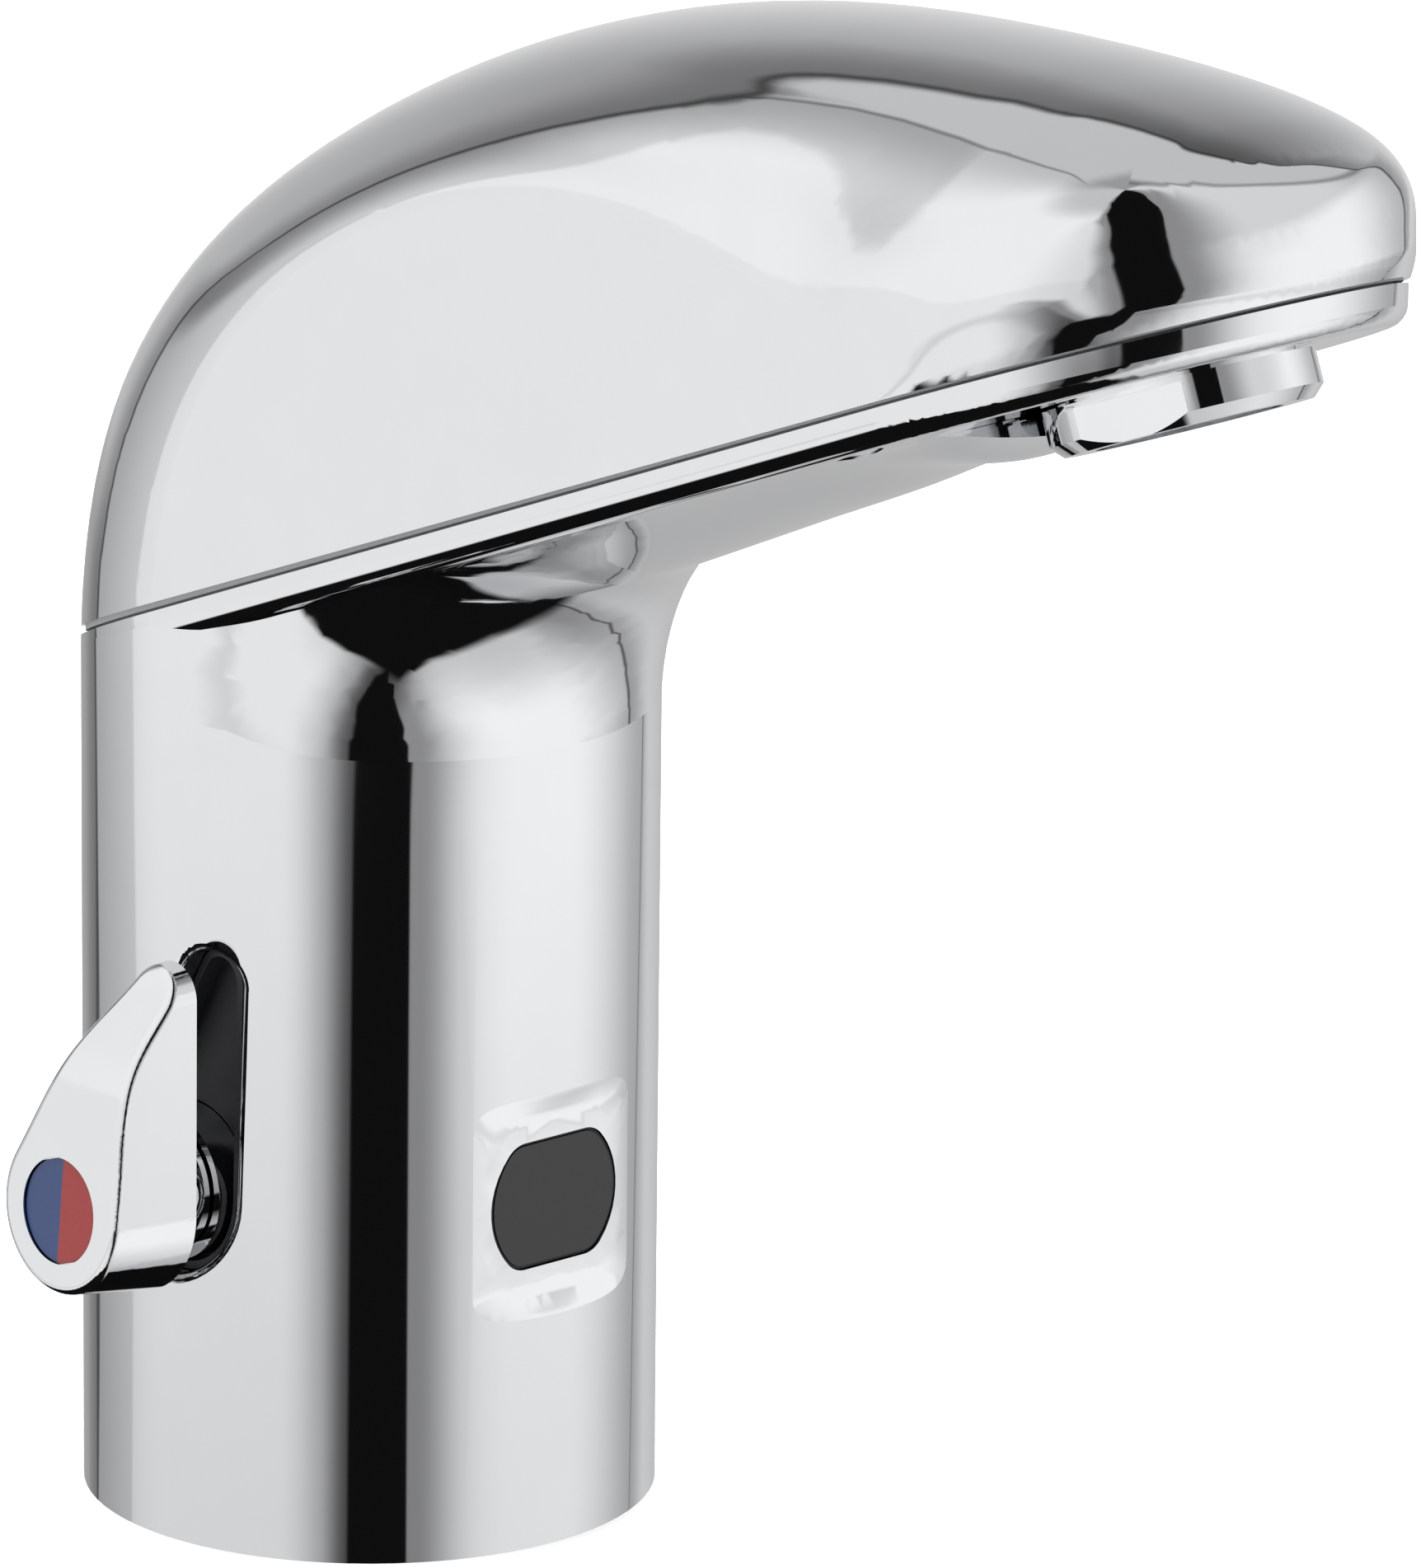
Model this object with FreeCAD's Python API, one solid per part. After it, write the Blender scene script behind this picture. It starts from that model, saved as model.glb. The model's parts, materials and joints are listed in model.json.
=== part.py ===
import FreeCAD, Part
import math
import os

# A free-standing electronic basin tap.
# Frame: millimetres, +Z up, origin at the centre of the base on the column's axis.
# The spout points along -Y and the temperature lever stands out along -X.
# "Forward" is -Y. A tilted spout frame follows the seam between body and cover:
# along it forward and up, across it sideways, and above it square to the seam.

V = FreeCAD.Vector

# ---------------------------------------------------------------- driving sizes
# column
column_radius = 30.0
column_wall = 4.0
rim_height = 98.4            # seam height on the column's axis
spout_rise_deg = 21.3        # how steeply the seam climbs towards the nose
reach = 135.0                # column axis to the tip of the nose

# spout tray and keel
lip_thickness = 3.7
lip_round = 2.4
tray_depth = 2.0
keel_drop_back = 9.0         # keel below the seam where it leaves the column
keel_drop_front = 6.2        # and where it meets the aerator
keel_edge_in = 5.0           # inside the spout's sides
throat_radius = 25.0         # concave sweep between column and keel
throat_start_in = 0.06       # the sweep starts just inside the column's surface
throat_sections = 8
keel_sections = 5
keel_gap = 0.6               # between the keel's end and the aerator
lip_cover = 0.5              # the keel's edges end this far inside the lip
spigot_inset = 2.9
spigot_wall = 1.5
spigot_rise = 4.5

# cover
cover_wall = 2.8
seam_gap_back = 1.0
seam_gap_front = 0.5
gasket_inset = 0.5
gasket_groove = 0.9          # dark line under the strip: how deep
gasket_groove_height = 0.3   # and how high
crown_back_lift = 18.3
crown_shoulder_in = 10.5
crown_shoulder_lift = 37.7
crown_rise_station = 9.5
crown_rise_lift = 48.4
crown_mid_station = 44.5
crown_mid_lift = 50.4
crown_fore_in = 46.5          # behind the nose's tip
crown_fore_lift = 37.1
crown_brow_in = 10.4
crown_brow_lift = 21.5
crown_nose_lift = 11.2
crown_drop_back = 32.5       # depth of the crown's rounding, back to front
crown_drop_shoulder = 26.8
crown_drop_mid = 22.4
crown_drop_fore = 21.5
crown_drop_brow = 22.3
fan_pivot_in = 40.0          # sections fan out from this far behind the nose
tongue_half_width = 6.0
tongue_thick = 3.0
tongue_drop = 9.0
cover_screw_radius = 2.0
cover_screw_head_radius = 3.5
cover_screw_below_seam = 5.2
cover_screw_key = 1.5        # its hexagon socket, centre to corner
cover_screw_sunk = 0.4
tongue_bridge_lift = 1.2      # above the spigot

# aerator, square to the seam
aerator_in = 20.0             # behind the nose's tip, on the seam
aerator_radius = 13.5
aerator_drop = 8.6           # lowest edge below the seam
aerator_ring_height = 4.7
aerator_chamfer = 1.2
aerator_thread_radius = 12.0
aerator_bore_radius = 10.2
aerator_mouth_radius = 9.2
aerator_mouth_lip = 0.8
wrench_flat_radius = 12.2
wrench_flat_turn_deg = 68.0
wrench_flat_height = 4.2
boss_radius = 15.5
boss_top = 7.5
boss_roof = 1.6
boss_bite = 0.5               # into the tray's floor
keel_pocket_gap = 0.5         # round the aerator ring
chamber_radius = 9.5
washer_thick = 1.2
grid_thick = 1.5
grid_hole_radius = 0.75
grid_pitch = 2.4
grid_row_share = math.sin(math.radians(60))
jet_insert_height = 4.6
jet_insert_wall = 2.0
jet_insert_floor = 1.2
regulator_thick = 1.4
regulator_hole_radius = 1.2

# sensor window, on a shallow flat pad
window_below_lever = 1.0     # the window's middle, below the lever's axis
window_half_height = 6.4
window_radius = 8.2
window_corner = 2.6
window_gasket = 0.3
window_under = 1.45           # the glass lies this far under the column's outside
window_proud = 0.15           # the glass stands this far out of its gasket
pad_under = 1.3              # under the column's outside
pad_half_width = 15.5
pad_half_height = 8.9
pad_slope = 3.4
pad_blend = 0.35             # how softly its sides run into the column
sensor_half_width = 9.5
sensor_height = 14.0
sensor_depth = 7.9
sensor_wall = 1.2
sensor_front_in = 6.1         # behind the column's outside
bracket_thick = 1.4
bracket_screw_radius = 1.2
bracket_screw_gap = 9.0
bracket_screw_lift = 3.2      # above the sensor housing
bracket_screw_length = 6.0
bracket_screw_head = 2.1
bracket_screw_head_thick = 1.5
bracket_edge = 2.6
board_thick = 1.2
diode_radius = 2.4
diode_spread = 3.9

# lever, slot and mixing cartridge
lever_height = 37.7
lever_forward = 1.0
slot_hub_radius = 9.4
slot_tip_radius = 3.4
slot_tip_forward = 7.7
slot_tip_lift = 22.9          # above the lever's axis
slot_edge_round = 0.9
liner_floor_under = 9.0       # under the column's outside
liner_floor_thick = 3.5
liner_wall = 0.8
liner_edge_under = 3.0
lever_inner_off = 3.4         # out from the column's outside
lever_hub_radius = 10.2
lever_tip_radius = 3.6
lever_tip_lift = 22.6
lever_draft = 1.9
lever_face_off = 13.2
lever_face_tilt_deg = 4.8
lever_tip_off = 7.0
lever_belly = 1.0             # how far the face stands out between hub and tip
lever_belly_share = 0.58      # how far up it stands out most
lever_edge_round = 0.9
lever_flat_reach = 1.3        # the face is flat this many marker radii above the axis
lever_tip_curl = 2.4          # how far the face falls back above the tip
lever_tip_taper = 0.9         # the tip gets smaller towards the face
lever_tip_dip = 0.8           # and lower
lever_tip_back = 0.9          # and nearer the axis
lever_neck_radius = 6.8
lever_neck_under = 1.3
marker_radius = 5.4
marker_thick = 0.7
marker_recess = 1.0
marker_gap = 0.15
collar_radius = 8.0
collar_under = 1.6
spindle_radius = 4.0
spindle_off = 8.5
cartridge_face = 4.0         # the valve block's port face, out from the column's axis
ceramic_thick = 2.0
ceramic_radius = 8.0
driver_thick = 4.0
cartridge_radius = 9.4
cartridge_wall = 1.2
cartridge_length = 13.0
cartridge_end_wall = 2.0
nut_radius = 10.4
port_offset = 4.2
port_radius = 1.6
outlet_port_lift = 4.6
grub_radius = 1.25
grub_length = 4.6

# base, waterways
base_gasket_thick = 1.2
base_plate_top = 8.0
base_plate_clearance = 0.1
base_rim_wall = 2.8
lug_radius = 4.0
lug_in = 7.6                  # the screws' circle, inside the column's outside
lug_top = 20.0
lug_turn_deg = 55.0
lug_web_reach = 1.12          # the webs' place, as a share of the screws' circle
base_screw_radius = 2.0
base_screw_length = 14.0
base_screw_head_radius = 3.6
block_screw_side = 7.0
block_screw_spread = 9.5
screw_counterbore = 2.6
stud_thread_radius = 4.0
stud_side = 16.5
hose_thread_radius = 5.0
hose_thread_length = 9.0
hose_hole_radius = 6.2
hose_spread = 9.5
hose_side = 4.0
block_half_depth = 15.5
block_left = 12.0
block_right = 14.0
block_below_lever = 10.2
block_tower_right = 12.5
block_above_lever = 12.3
strainer_thick = 0.6
check_radius = 4.5
check_cap = 0.9
check_end_wall = 1.2
check_seat_in = 1.4           # its ends' holes are this much smaller than its bore
check_wall = 0.9
poppet_radius = 3.2
poppet_thick = 1.4
poppet_stem_radius = 1.2
poppet_stem = 1.4
check_spring_radius = 2.4
check_spring_wire = 0.5
check_spring_turns = 3.5
spring_gap = 0.05             # at each end of a spring
channel_radius = 1.6

# solenoid valve
valve_radius = 13.0
valve_side = 0.0
valve_back = 4.0
valve_height = 10.0
valve_pocket_radius = 9.6
valve_pocket_depth = 3.0
valve_seat_radius = 4.0
valve_seat_bore = 2.0
diaphragm_thick = 1.5
bonnet_height = 5.0
bonnet_chamber = 1.6
core_radius = 5.0
core_wall = 0.7
core_height = 21.0
core_roof = 1.2
core_flange_radius = 8.0
core_flange_thick = 1.2
plunger_radius = 4.2
plunger_length = 17.5
plunger_rest_gap = 0.05
plunger_spring_radius = 2.8
plunger_spring_wire = 0.6
plunger_spring_turns = 3.0
plunger_vent_radius = 0.8
plunger_vent = 3.0
coil_radius = 10.4
coil_height = 18.0
shroud_wall = 1.2
bonnet_screw_circle = 11.3
bonnet_screw_radius = 0.9
bonnet_screw_count = 4
bonnet_screw_bite = 4.5
bonnet_screw_head = 1.62
outlet_boss_radius = 4.4
outlet_boss_end = 14.0

# outlet pipe
pipe_radius = 3.2
pipe_bore = 2.2
pipe_above_seam = 2.6
pipe_riser_forward = 20.0
pipe_seal_thick = 1.0
pipe_low_bend = 4.6
pipe_high_bend = 14.0

# chassis, battery and electronics in the spout
chassis_above_seam = 6.4
chassis_thick = 1.6
chassis_back = -8.0
chassis_to_boss = 15.9
chassis_side_in = 10.0       # inside the spout's sides
chassis_rail = 2.0
post_radius = 3.4
post_side = 7.2
post_back = 50.0
post_front_in = 6.0          # behind the chassis's front
chassis_screw_radius = 1.4
chassis_screw_bite = 3.0
chassis_thread_in = 0.2       # its tapped hole's wall, inside the screw's radius
chassis_screw_short = 0.2     # the screw ends this far above its hole's floor
chassis_screw_head = 2.6
battery_length = 36.0
battery_width = 35.0
battery_height = 19.5
battery_back = 14.0
box_wall = 1.6
control_back = 58.0
control_front_in = 1.0        # behind the chassis's front
control_half_width = 15.5
control_height = 13.0
control_board_lift = 3.0
chip_place = 0.31             # share of the board's length behind the chip
chip_share = 0.27             # and under it
chip_half_width = 4.0
chip_height = 1.2
capacitor_radius = 3.0
capacitor_height = 4.5
foot_radius = 1.2
foot_in = 2.0
lead_radius = 0.9
lead_side = 12.0
lead_drop = 3.2
lead_start_bend = 3.0
lead_wide_bend = 8.0
lead_widest_bend = 12.0
lead_top_bend = 6.0
lead_end_bend = 2.6
sensor_lead_shift = 4.5
sensor_lead_rise = 9.0
sensor_lead_run = 13.0
sensor_lead_back = 1.5
valve_lead_bend = 8.0         # forward of the column's axis
valve_lead_rise = 5.0
battery_lead_side = 2.4
battery_lead_lift = 4.0
sensor_lead_in = 12.0         # behind the chassis's front
valve_lead_on = 8.0           # forward of the control box's back

# fits
slip = 0.1                   # parts that drop in
free = 0.3                   # parts that must never rub
thread_fit = 0.05            # radial room in a thread
tapping = 0.3                # a tapped hole's wall lies this far inside the screw's radius
running = 0.06               # radial room of a turning or sliding fit

# ---------------------------------------------------------------- derived places
window_height_mid = lever_height - window_below_lever
sensor_front = column_radius - sensor_front_in
liner_floor_in = column_radius - liner_floor_under
liner_edge_in = column_radius - liner_edge_under
lever_inner = column_radius + lever_inner_off
lever_face = column_radius + lever_face_off
lever_tip_face = column_radius + lever_tip_off
lever_neck_start = column_radius - lever_neck_under
collar_end = column_radius - collar_under
spindle_end = column_radius + spindle_off
base_counterbore = column_radius - base_rim_wall
lug_circle = column_radius - lug_in
window_face = column_radius - window_under
pad_face = column_radius - pad_under
keel_half_width = column_radius - keel_edge_in
chassis_half_width = column_radius - chassis_side_in
slot_tip_height = lever_height + slot_tip_lift
lever_tip_height = lever_height + lever_tip_lift
block_top = lever_height - block_below_lever
block_tower_top = lever_height + block_above_lever
rise = math.radians(spout_rise_deg)
rise_sin = math.sin(rise)
rise_cos = math.cos(rise)
rise_tan = math.tan(rise)
bore_radius = column_radius - column_wall
spigot_bore = column_radius - spigot_inset - spigot_wall
nose_centre = reach - column_radius
spout_frame = FreeCAD.Placement(V(0, 0, rim_height), FreeCAD.Rotation(V(1, 0, 0), -spout_rise_deg))
aerator_along = (reach - aerator_in) / rise_cos
boss_back = aerator_along - boss_radius
chassis_front = boss_back - chassis_to_boss
post_stations = (post_back, chassis_front - post_front_in)
control_length = chassis_front - control_front_in - control_back
valve_base_z = block_tower_top
valve_top_z = valve_base_z + valve_height
bonnet_z = valve_top_z + diaphragm_thick
core_z = bonnet_z + bonnet_height
coil_z = core_z + core_flange_thick
core_top_z = core_z + core_height
outlet_z = valve_base_z + valve_height - valve_pocket_depth - valve_seat_bore
liner_floor_out = liner_floor_in + liner_floor_thick
block_tower_half_depth = sensor_front - sensor_depth - bracket_thick - slip
sleeve_end = cartridge_face + cartridge_length
check_z = base_plate_top + hose_thread_length
check_sleeve_z = check_z + strainer_thick
check_length = block_top - check_sleeve_z - check_cap
slot_low = lever_height - slot_hub_radius - 1
slot_high = slot_tip_height + slot_tip_radius + 1
thread_top = -aerator_drop + aerator_ring_height + jet_insert_height
pipe_end = boss_back - pipe_seal_thick
bracket_screw_x = (0.0, bracket_screw_gap)
far = 400.0                  # longer than anything in the tap


# ---------------------------------------------------------------- small helpers
def rim_z(forward):
    """Height of the seam plane at a distance forward of the column's axis."""
    return rim_height + rise_tan * forward


def upright(radius, bottom, top, x=0.0, y=0.0):
    """Vertical cylinder between two heights."""
    return Part.makeCylinder(radius, top - bottom, V(x, y, bottom))


def side_rod(radius, start, end, y=None, z=None):
    """Cylinder along -X, from start to end measured out from the column's axis."""
    here_y = -lever_forward if y is None else y
    here_z = lever_height if z is None else z
    return Part.makeCylinder(radius, end - start, V(-start, here_y, here_z), V(-1, 0, 0))


def side_ring(outer, inner, start, end):
    """Ring about the lever's axis."""
    return side_rod(outer, start, end).cut(side_rod(inner, start - 1, end + 1))


def upright_ring(outer, inner, bottom, top, x=0.0, y=0.0):
    """Vertical ring between two heights."""
    return upright(outer, bottom, top, x, y).cut(upright(inner, bottom - 1, top + 1, x, y))


def block(x0, x1, y0, y1, z0, z1):
    """Box between two corners."""
    return Part.makeBox(x1 - x0, y1 - y0, z1 - z0, V(x0, y0, z0))


def in_spout(shape):
    """Carry a shape drawn flat on the seam into its tilted place."""
    placed = shape.copy()
    placed.Placement = spout_frame.multiply(placed.Placement)
    return placed


def spout_block(across0, across1, along0, along1, above0, above1):
    """Box in the spout frame."""
    return in_spout(block(across0, across1, -along1, -along0, above0, above1))


def spout_rod(radius, along, across, above0, above1):
    """Cylinder square to the seam."""
    return in_spout(upright(radius, above0, above1, across, -along))


def aerator_rod(radius, above0, above1):
    """Cylinder about the aerator's axis."""
    return spout_rod(radius, aerator_along, 0.0, above0, above1)


def aerator_ring_between(outer, inner, above0, above1):
    """Ring about the aerator's axis."""
    return aerator_rod(outer, above0, above1).cut(aerator_rod(inner, above0 - 1, above1 + 1))


def seam_slab(above0, above1):
    """Everything between two planes parallel to the seam."""
    return spout_block(-far, far, -far, far, above0, above1)


def above_cover_edge(lift=0.0):
    """Everything above the cover's lower edge, where the seam narrows towards the nose."""
    back = V(-far, column_radius, rim_z(-column_radius) + seam_gap_back + lift)
    front = V(-far, -reach, rim_z(reach) + seam_gap_front + lift)
    run = front.sub(back)
    start = back.sub(run)
    end = front.add(run)
    top = V(0, 0, far)
    outline = Part.makePolygon([start, end, end.add(top), start.add(top), start])
    return Part.Face(outline).extrude(V(2 * far, 0, 0))


def stadium(inset, bottom, top):
    """Upright prism on the spout's plan outline, drawn in by an inset."""
    half = column_radius - inset
    tip = nose_centre
    back_arc = Part.Arc(V(-half, 0, bottom), V(0, half, bottom), V(half, 0, bottom)).toShape()
    nose_arc = Part.Arc(V(half, -tip, bottom), V(0, -tip - half, bottom), V(-half, -tip, bottom)).toShape()
    right = Part.LineSegment(V(half, 0, bottom), V(half, -tip, bottom)).toShape()
    left = Part.LineSegment(V(-half, -tip, bottom), V(-half, 0, bottom)).toShape()
    outline = Part.Wire([back_arc, right, nose_arc, left])
    return Part.Face(outline).extrude(V(0, 0, top - bottom))


def stadium_slab(inset, above0, above1):
    """The plan outline between two planes parallel to the seam."""
    return stadium(inset, 0.0, far).common(seam_slab(above0, above1))


def teardrop(hub_y, hub_z, hub_radius, tip_y, tip_z, tip_radius, out):
    """Closed teardrop outline in a plane square to -X, at a distance out from the axis."""
    span = math.hypot(tip_y - hub_y, tip_z - hub_z)
    lean = math.atan2(tip_z - hub_z, tip_y - hub_y)
    open_angle = math.acos((hub_radius - tip_radius) / span)

    def at(cy, cz, radius, angle):
        return V(-out, cy + radius * math.cos(angle), cz + radius * math.sin(angle))

    hub = [at(hub_y, hub_z, hub_radius, lean + a) for a in (open_angle, math.pi, -open_angle)]
    tip = [at(tip_y, tip_z, tip_radius, lean + a) for a in (-open_angle, 0.0, open_angle)]
    hub_arc = Part.Arc(hub[0], hub[1], hub[2]).toShape()
    front_side = Part.LineSegment(hub[2], tip[0]).toShape()
    tip_arc = Part.Arc(tip[0], tip[1], tip[2]).toShape()
    back_side = Part.LineSegment(tip[2], hub[0]).toShape()
    return Part.Wire([hub_arc, front_side, tip_arc, back_side])


def slot_prism(inset, start, end):
    """The slot's teardrop as a prism along -X."""
    outline = teardrop(-lever_forward, lever_height, slot_hub_radius - inset,
                       -slot_tip_forward, slot_tip_height, slot_tip_radius - inset, start)
    return Part.Face(outline).extrude(V(-(end - start), 0, 0))


def window_prism(grow, start, end):
    """The window's barrel outline as a prism along -Y."""
    half = window_half_height + grow
    disc = Part.makeCylinder(window_radius + grow, end - start, V(0, -start, window_height_mid), V(0, -1, 0))
    band = block(-far, far, -end, -start, window_height_mid - half, window_height_mid + half)
    barrel = disc.common(band)
    corners = [e for e in barrel.Edges if abs(e.BoundBox.YLength - (end - start)) < 0.01
               and e.BoundBox.XLength < 0.01 and e.BoundBox.ZLength < 0.01]
    corners = [e for e in corners if abs(abs(e.CenterOfMass.z - window_height_mid) - half) < 0.01]
    return barrel.makeFillet(window_corner + grow, corners)


def route(points, radii):
    """Wire of straight runs joined by tangent arcs of the given radii."""
    edges = []
    start = points[0]
    for corner, following, radius in zip(points[1:-1], points[2:], radii):
        into = corner.sub(start).normalize()
        away = following.sub(corner).normalize()
        turn = into.getAngle(away)
        setback = radius * math.tan(turn / 2)
        first = corner.sub(V(into).multiply(setback))
        last = corner.add(V(away).multiply(setback))
        middle_dir = V(away).sub(into).normalize()
        middle = corner.add(middle_dir.multiply(radius / math.cos(turn / 2) - radius))
        edges.append(Part.LineSegment(start, first).toShape())
        edges.append(Part.Arc(first, middle, last).toShape())
        start = last
    edges.append(Part.LineSegment(start, points[-1]).toShape())
    return Part.Wire(edges)


def rod_along(points, radii, radius):
    """Round rod swept along a route."""
    path = route(points, radii)
    profile = Part.Wire(Part.makeCircle(radius, points[0], points[1].sub(points[0])))
    return path.makePipeShell([profile], True, False)


def coil_spring(radius, wire, bottom, top, turns, x, y):
    """Square-wire spring standing upright between two heights."""
    height = top - bottom - wire
    pitch = height / turns
    helix = Part.makeHelix(pitch, height, radius)
    half = wire / 2
    corners = [(-half, -half), (half, -half), (half, half), (-half, half), (-half, -half)]
    profile = Part.makePolygon([V(radius + across, 0, along) for across, along in corners])
    spring = Part.Wire(helix).makePipeShell([profile], True, True)
    spring.translate(V(x, y, bottom + wire / 2))
    return spring


def clamped_curve(values):
    """Clamped cubic B-spline through control values."""
    spans = len(values) - 3
    knots = [i / spans for i in range(spans + 1)]
    mults = [4] + [1] * (spans - 1) + [4]
    curve = Part.BSplineCurve()
    curve.buildFromPolesMultsKnots(values, mults, knots, False, 3)
    return curve


# ---------------------------------------------------------------- cover
cover_screw_z = rim_z(-bore_radius) - cover_screw_below_seam
base_screw_top = base_gasket_thick + screw_counterbore + base_screw_length + 0.5


def crown_line(inset):
    """Side profile of the cover from the back of the seam to the nose."""
    back = -column_radius + inset
    nose = reach - inset
    drop = inset / rise_cos
    stations = (
        (back, 0.0),
        (back, crown_back_lift - inset / 2),
        (back + crown_shoulder_in, crown_shoulder_lift - drop / 2),
        (crown_rise_station, crown_rise_lift - drop),
        (crown_mid_station, crown_mid_lift - drop),
        (nose - crown_fore_in, crown_fore_lift - drop),
        (nose - crown_brow_in, crown_brow_lift - drop),
        (nose, crown_nose_lift - drop / 2),
        (nose, 0.0),
    )
    return clamped_curve([V(0, -forward, rim_z(forward) + lift) for forward, lift in stations])


def crown_drop_curve(half_width):
    """How deep the crown's rounding reaches, from the back to the nose."""
    end_drop = half_width / rise_cos
    share = half_width / column_radius
    crown_drops = (crown_drop_back, crown_drop_shoulder, crown_drop_mid, crown_drop_fore, crown_drop_brow)
    drops = [end_drop] + [share * d for d in crown_drops] + [end_drop]
    return clamped_curve([V(d, 0, 0) for d in drops])


def dome(inset, stations=33, steps=25):
    """Solid dome on the seam, drawn in by an inset."""
    half_width = column_radius - inset
    line = crown_line(inset)
    drops = crown_drop_curve(half_width)
    pivot = V(0, -(reach - fan_pivot_in), rim_z(reach - fan_pivot_in))
    rows = []
    for i in range(stations):
        t = i / (stations - 1)
        arm = line.value(t).sub(pivot)
        drop = drops.value(t).x
        row = []
        for j in range(steps):
            angle = math.pi * j / (steps - 1)
            share = 1 - drop / arm.Length * (1 - math.sin(angle))
            point = pivot.add(V(arm).multiply(share))
            row.append(V(-half_width * math.cos(angle), point.y, point.z))
        rows.append(row)
    surface = Part.BSplineSurface()
    surface.interpolate(rows)
    skin = surface.toShape()
    left = surface.vIso(surface.bounds()[2]).toShape()
    right = surface.vIso(surface.bounds()[3]).toShape()
    back = surface.uIso(surface.bounds()[0]).toShape()
    nose = surface.uIso(surface.bounds()[1]).toShape()
    left_foot = Part.LineSegment(rows[0][0], rows[-1][0]).toShape()
    right_foot = Part.LineSegment(rows[0][-1], rows[-1][-1]).toShape()
    left_side = Part.Face(Part.Wire([left, left_foot]))
    right_side = Part.Face(Part.Wire([right, right_foot]))
    floor = Part.Face(Part.Wire(Part.__sortEdges__([back, right_foot, nose, left_foot])))
    shell = Part.Shell([skin, left_side, right_side, floor])
    shell.sewShape()
    return Part.Solid(shell)


def cover_tongue():
    """Tab that hangs inside the back of the column and takes the cover screw."""
    seam = rim_z(-bore_radius)
    tongue_out = spigot_bore - free
    hang = block(-tongue_half_width, tongue_half_width, 0, far, seam - tongue_drop, seam + spigot_rise + 6)
    hang = hang.common(upright_ring(tongue_out, tongue_out - tongue_thick, 0, far))
    bridge_floor = seam + spigot_rise + tongue_bridge_lift
    bridge = block(-tongue_half_width, tongue_half_width, 0, far, bridge_floor, bridge_floor + 4)
    bridge = bridge.common(upright_ring(far, tongue_out - tongue_thick, 0, far))
    return hang.fuse(bridge.common(dome(cover_wall / 2)))


def make_top_cover():
    shell = dome(0.0).cut(dome(cover_wall)).common(above_cover_edge())
    shell = shell.cut(stadium_slab(spigot_inset - free, -tray_depth, spigot_rise + free))
    cover = shell.fuse(cover_tongue())
    screw = Part.makeCylinder(cover_screw_radius, far, V(0, 0, cover_screw_z), V(0, 1, 0))
    return cover.cut(screw).removeSplitter()


def make_cover_screw():
    shaft_start = spigot_bore - free - tongue_thick
    head_start = column_radius - column_wall / 2
    shaft = Part.makeCylinder(cover_screw_radius - thread_fit, head_start - shaft_start,
                              V(0, shaft_start, cover_screw_z), V(0, 1, 0))
    head = Part.makeCylinder(cover_screw_head_radius - slip, column_wall / 2 - cover_screw_sunk,
                             V(0, head_start, cover_screw_z), V(0, 1, 0))
    hexagon = [V(cover_screw_key * math.cos(math.radians(60 * i)), column_radius,
                 cover_screw_z + cover_screw_key * math.sin(math.radians(60 * i))) for i in range(7)]
    socket = Part.Face(Part.makePolygon(hexagon)).extrude(V(0, -column_wall / 2, 0))
    return shaft.fuse(head).cut(socket)


def make_cover_gasket():
    """Strip that fills the seam, set back from the outside."""
    ring = stadium(gasket_inset, 0, far).cut(stadium(spigot_inset - slip, 0, far))
    strip = ring.common(seam_slab(0, far)).cut(above_cover_edge())
    groove = stadium(0, 0, far).cut(stadium(gasket_inset + gasket_groove, 0, far))
    return strip.cut(groove.common(seam_slab(-1, gasket_groove_height)))


# ---------------------------------------------------------------- body casting
def throat_section(turn_deg, forward_shift, drop, blend):
    """One section of the sweep from column to keel, in a plane through a cross axis.

    turn_deg is the plane's direction seen from the side, blend runs from the column's
    half round (0) to the keel's bell outline (1).
    """
    turn = math.radians(turn_deg)
    outward = V(0, -math.cos(turn), math.sin(turn))
    centre = V(0, -(throat_forward + forward_shift * rise_cos), throat_height + forward_shift * rise_sin)
    points = []
    steps = 12
    for j in range(steps + 1):
        angle = math.pi * (j / steps - 0.5)
        round_arm = throat_radius + column_radius - throat_half * math.cos(angle)
        round_side = throat_half * math.sin(angle)
        bell_side = keel_half_width * math.sin(angle)
        swell = (1 - (bell_side / keel_half_width) ** 2) ** 2
        bell_drop = lip_thickness - lip_cover + (drop - lip_thickness + lip_cover) * swell
        bell_arm = throat_radius + keel_drop_back - bell_drop
        arm = round_arm + (bell_arm - round_arm) * blend
        side = round_side + (bell_side - round_side) * blend
        points.append(centre.add(V(outward).multiply(arm)).add(V(side, 0, 0)))
    curve = Part.BSplineCurve()
    curve.interpolate(points)
    return Part.Wire([curve.toShape(), Part.LineSegment(points[-1], points[0]).toShape()])


throat_half = column_radius - throat_start_in
throat_forward = column_radius + throat_radius
throat_height = (rim_z(throat_forward) - keel_drop_back / rise_cos) - throat_radius / rise_cos
keel_end = aerator_along - aerator_radius - keel_gap


def throat_and_keel():
    """Smooth underside from the column's front to just behind the aerator."""
    square_deg = 90 + spout_rise_deg
    start_along = throat_forward * rise_cos + (throat_height - rim_height) * rise_sin
    run = keel_end - start_along
    sections = []
    for step in range(throat_sections + 1):
        share = step / throat_sections
        blend = share * share * (3 - 2 * share)
        sections.append(throat_section(180 + (square_deg - 180) * share, 0.0, keel_drop_back, blend))
    for step in range(1, keel_sections + 1):
        share = step / keel_sections
        drop = keel_drop_back + (keel_drop_front - keel_drop_back) * share
        sections.append(throat_section(square_deg, run * share, drop, 1.0))
    return Part.makeLoft(sections, True, False)


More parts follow.
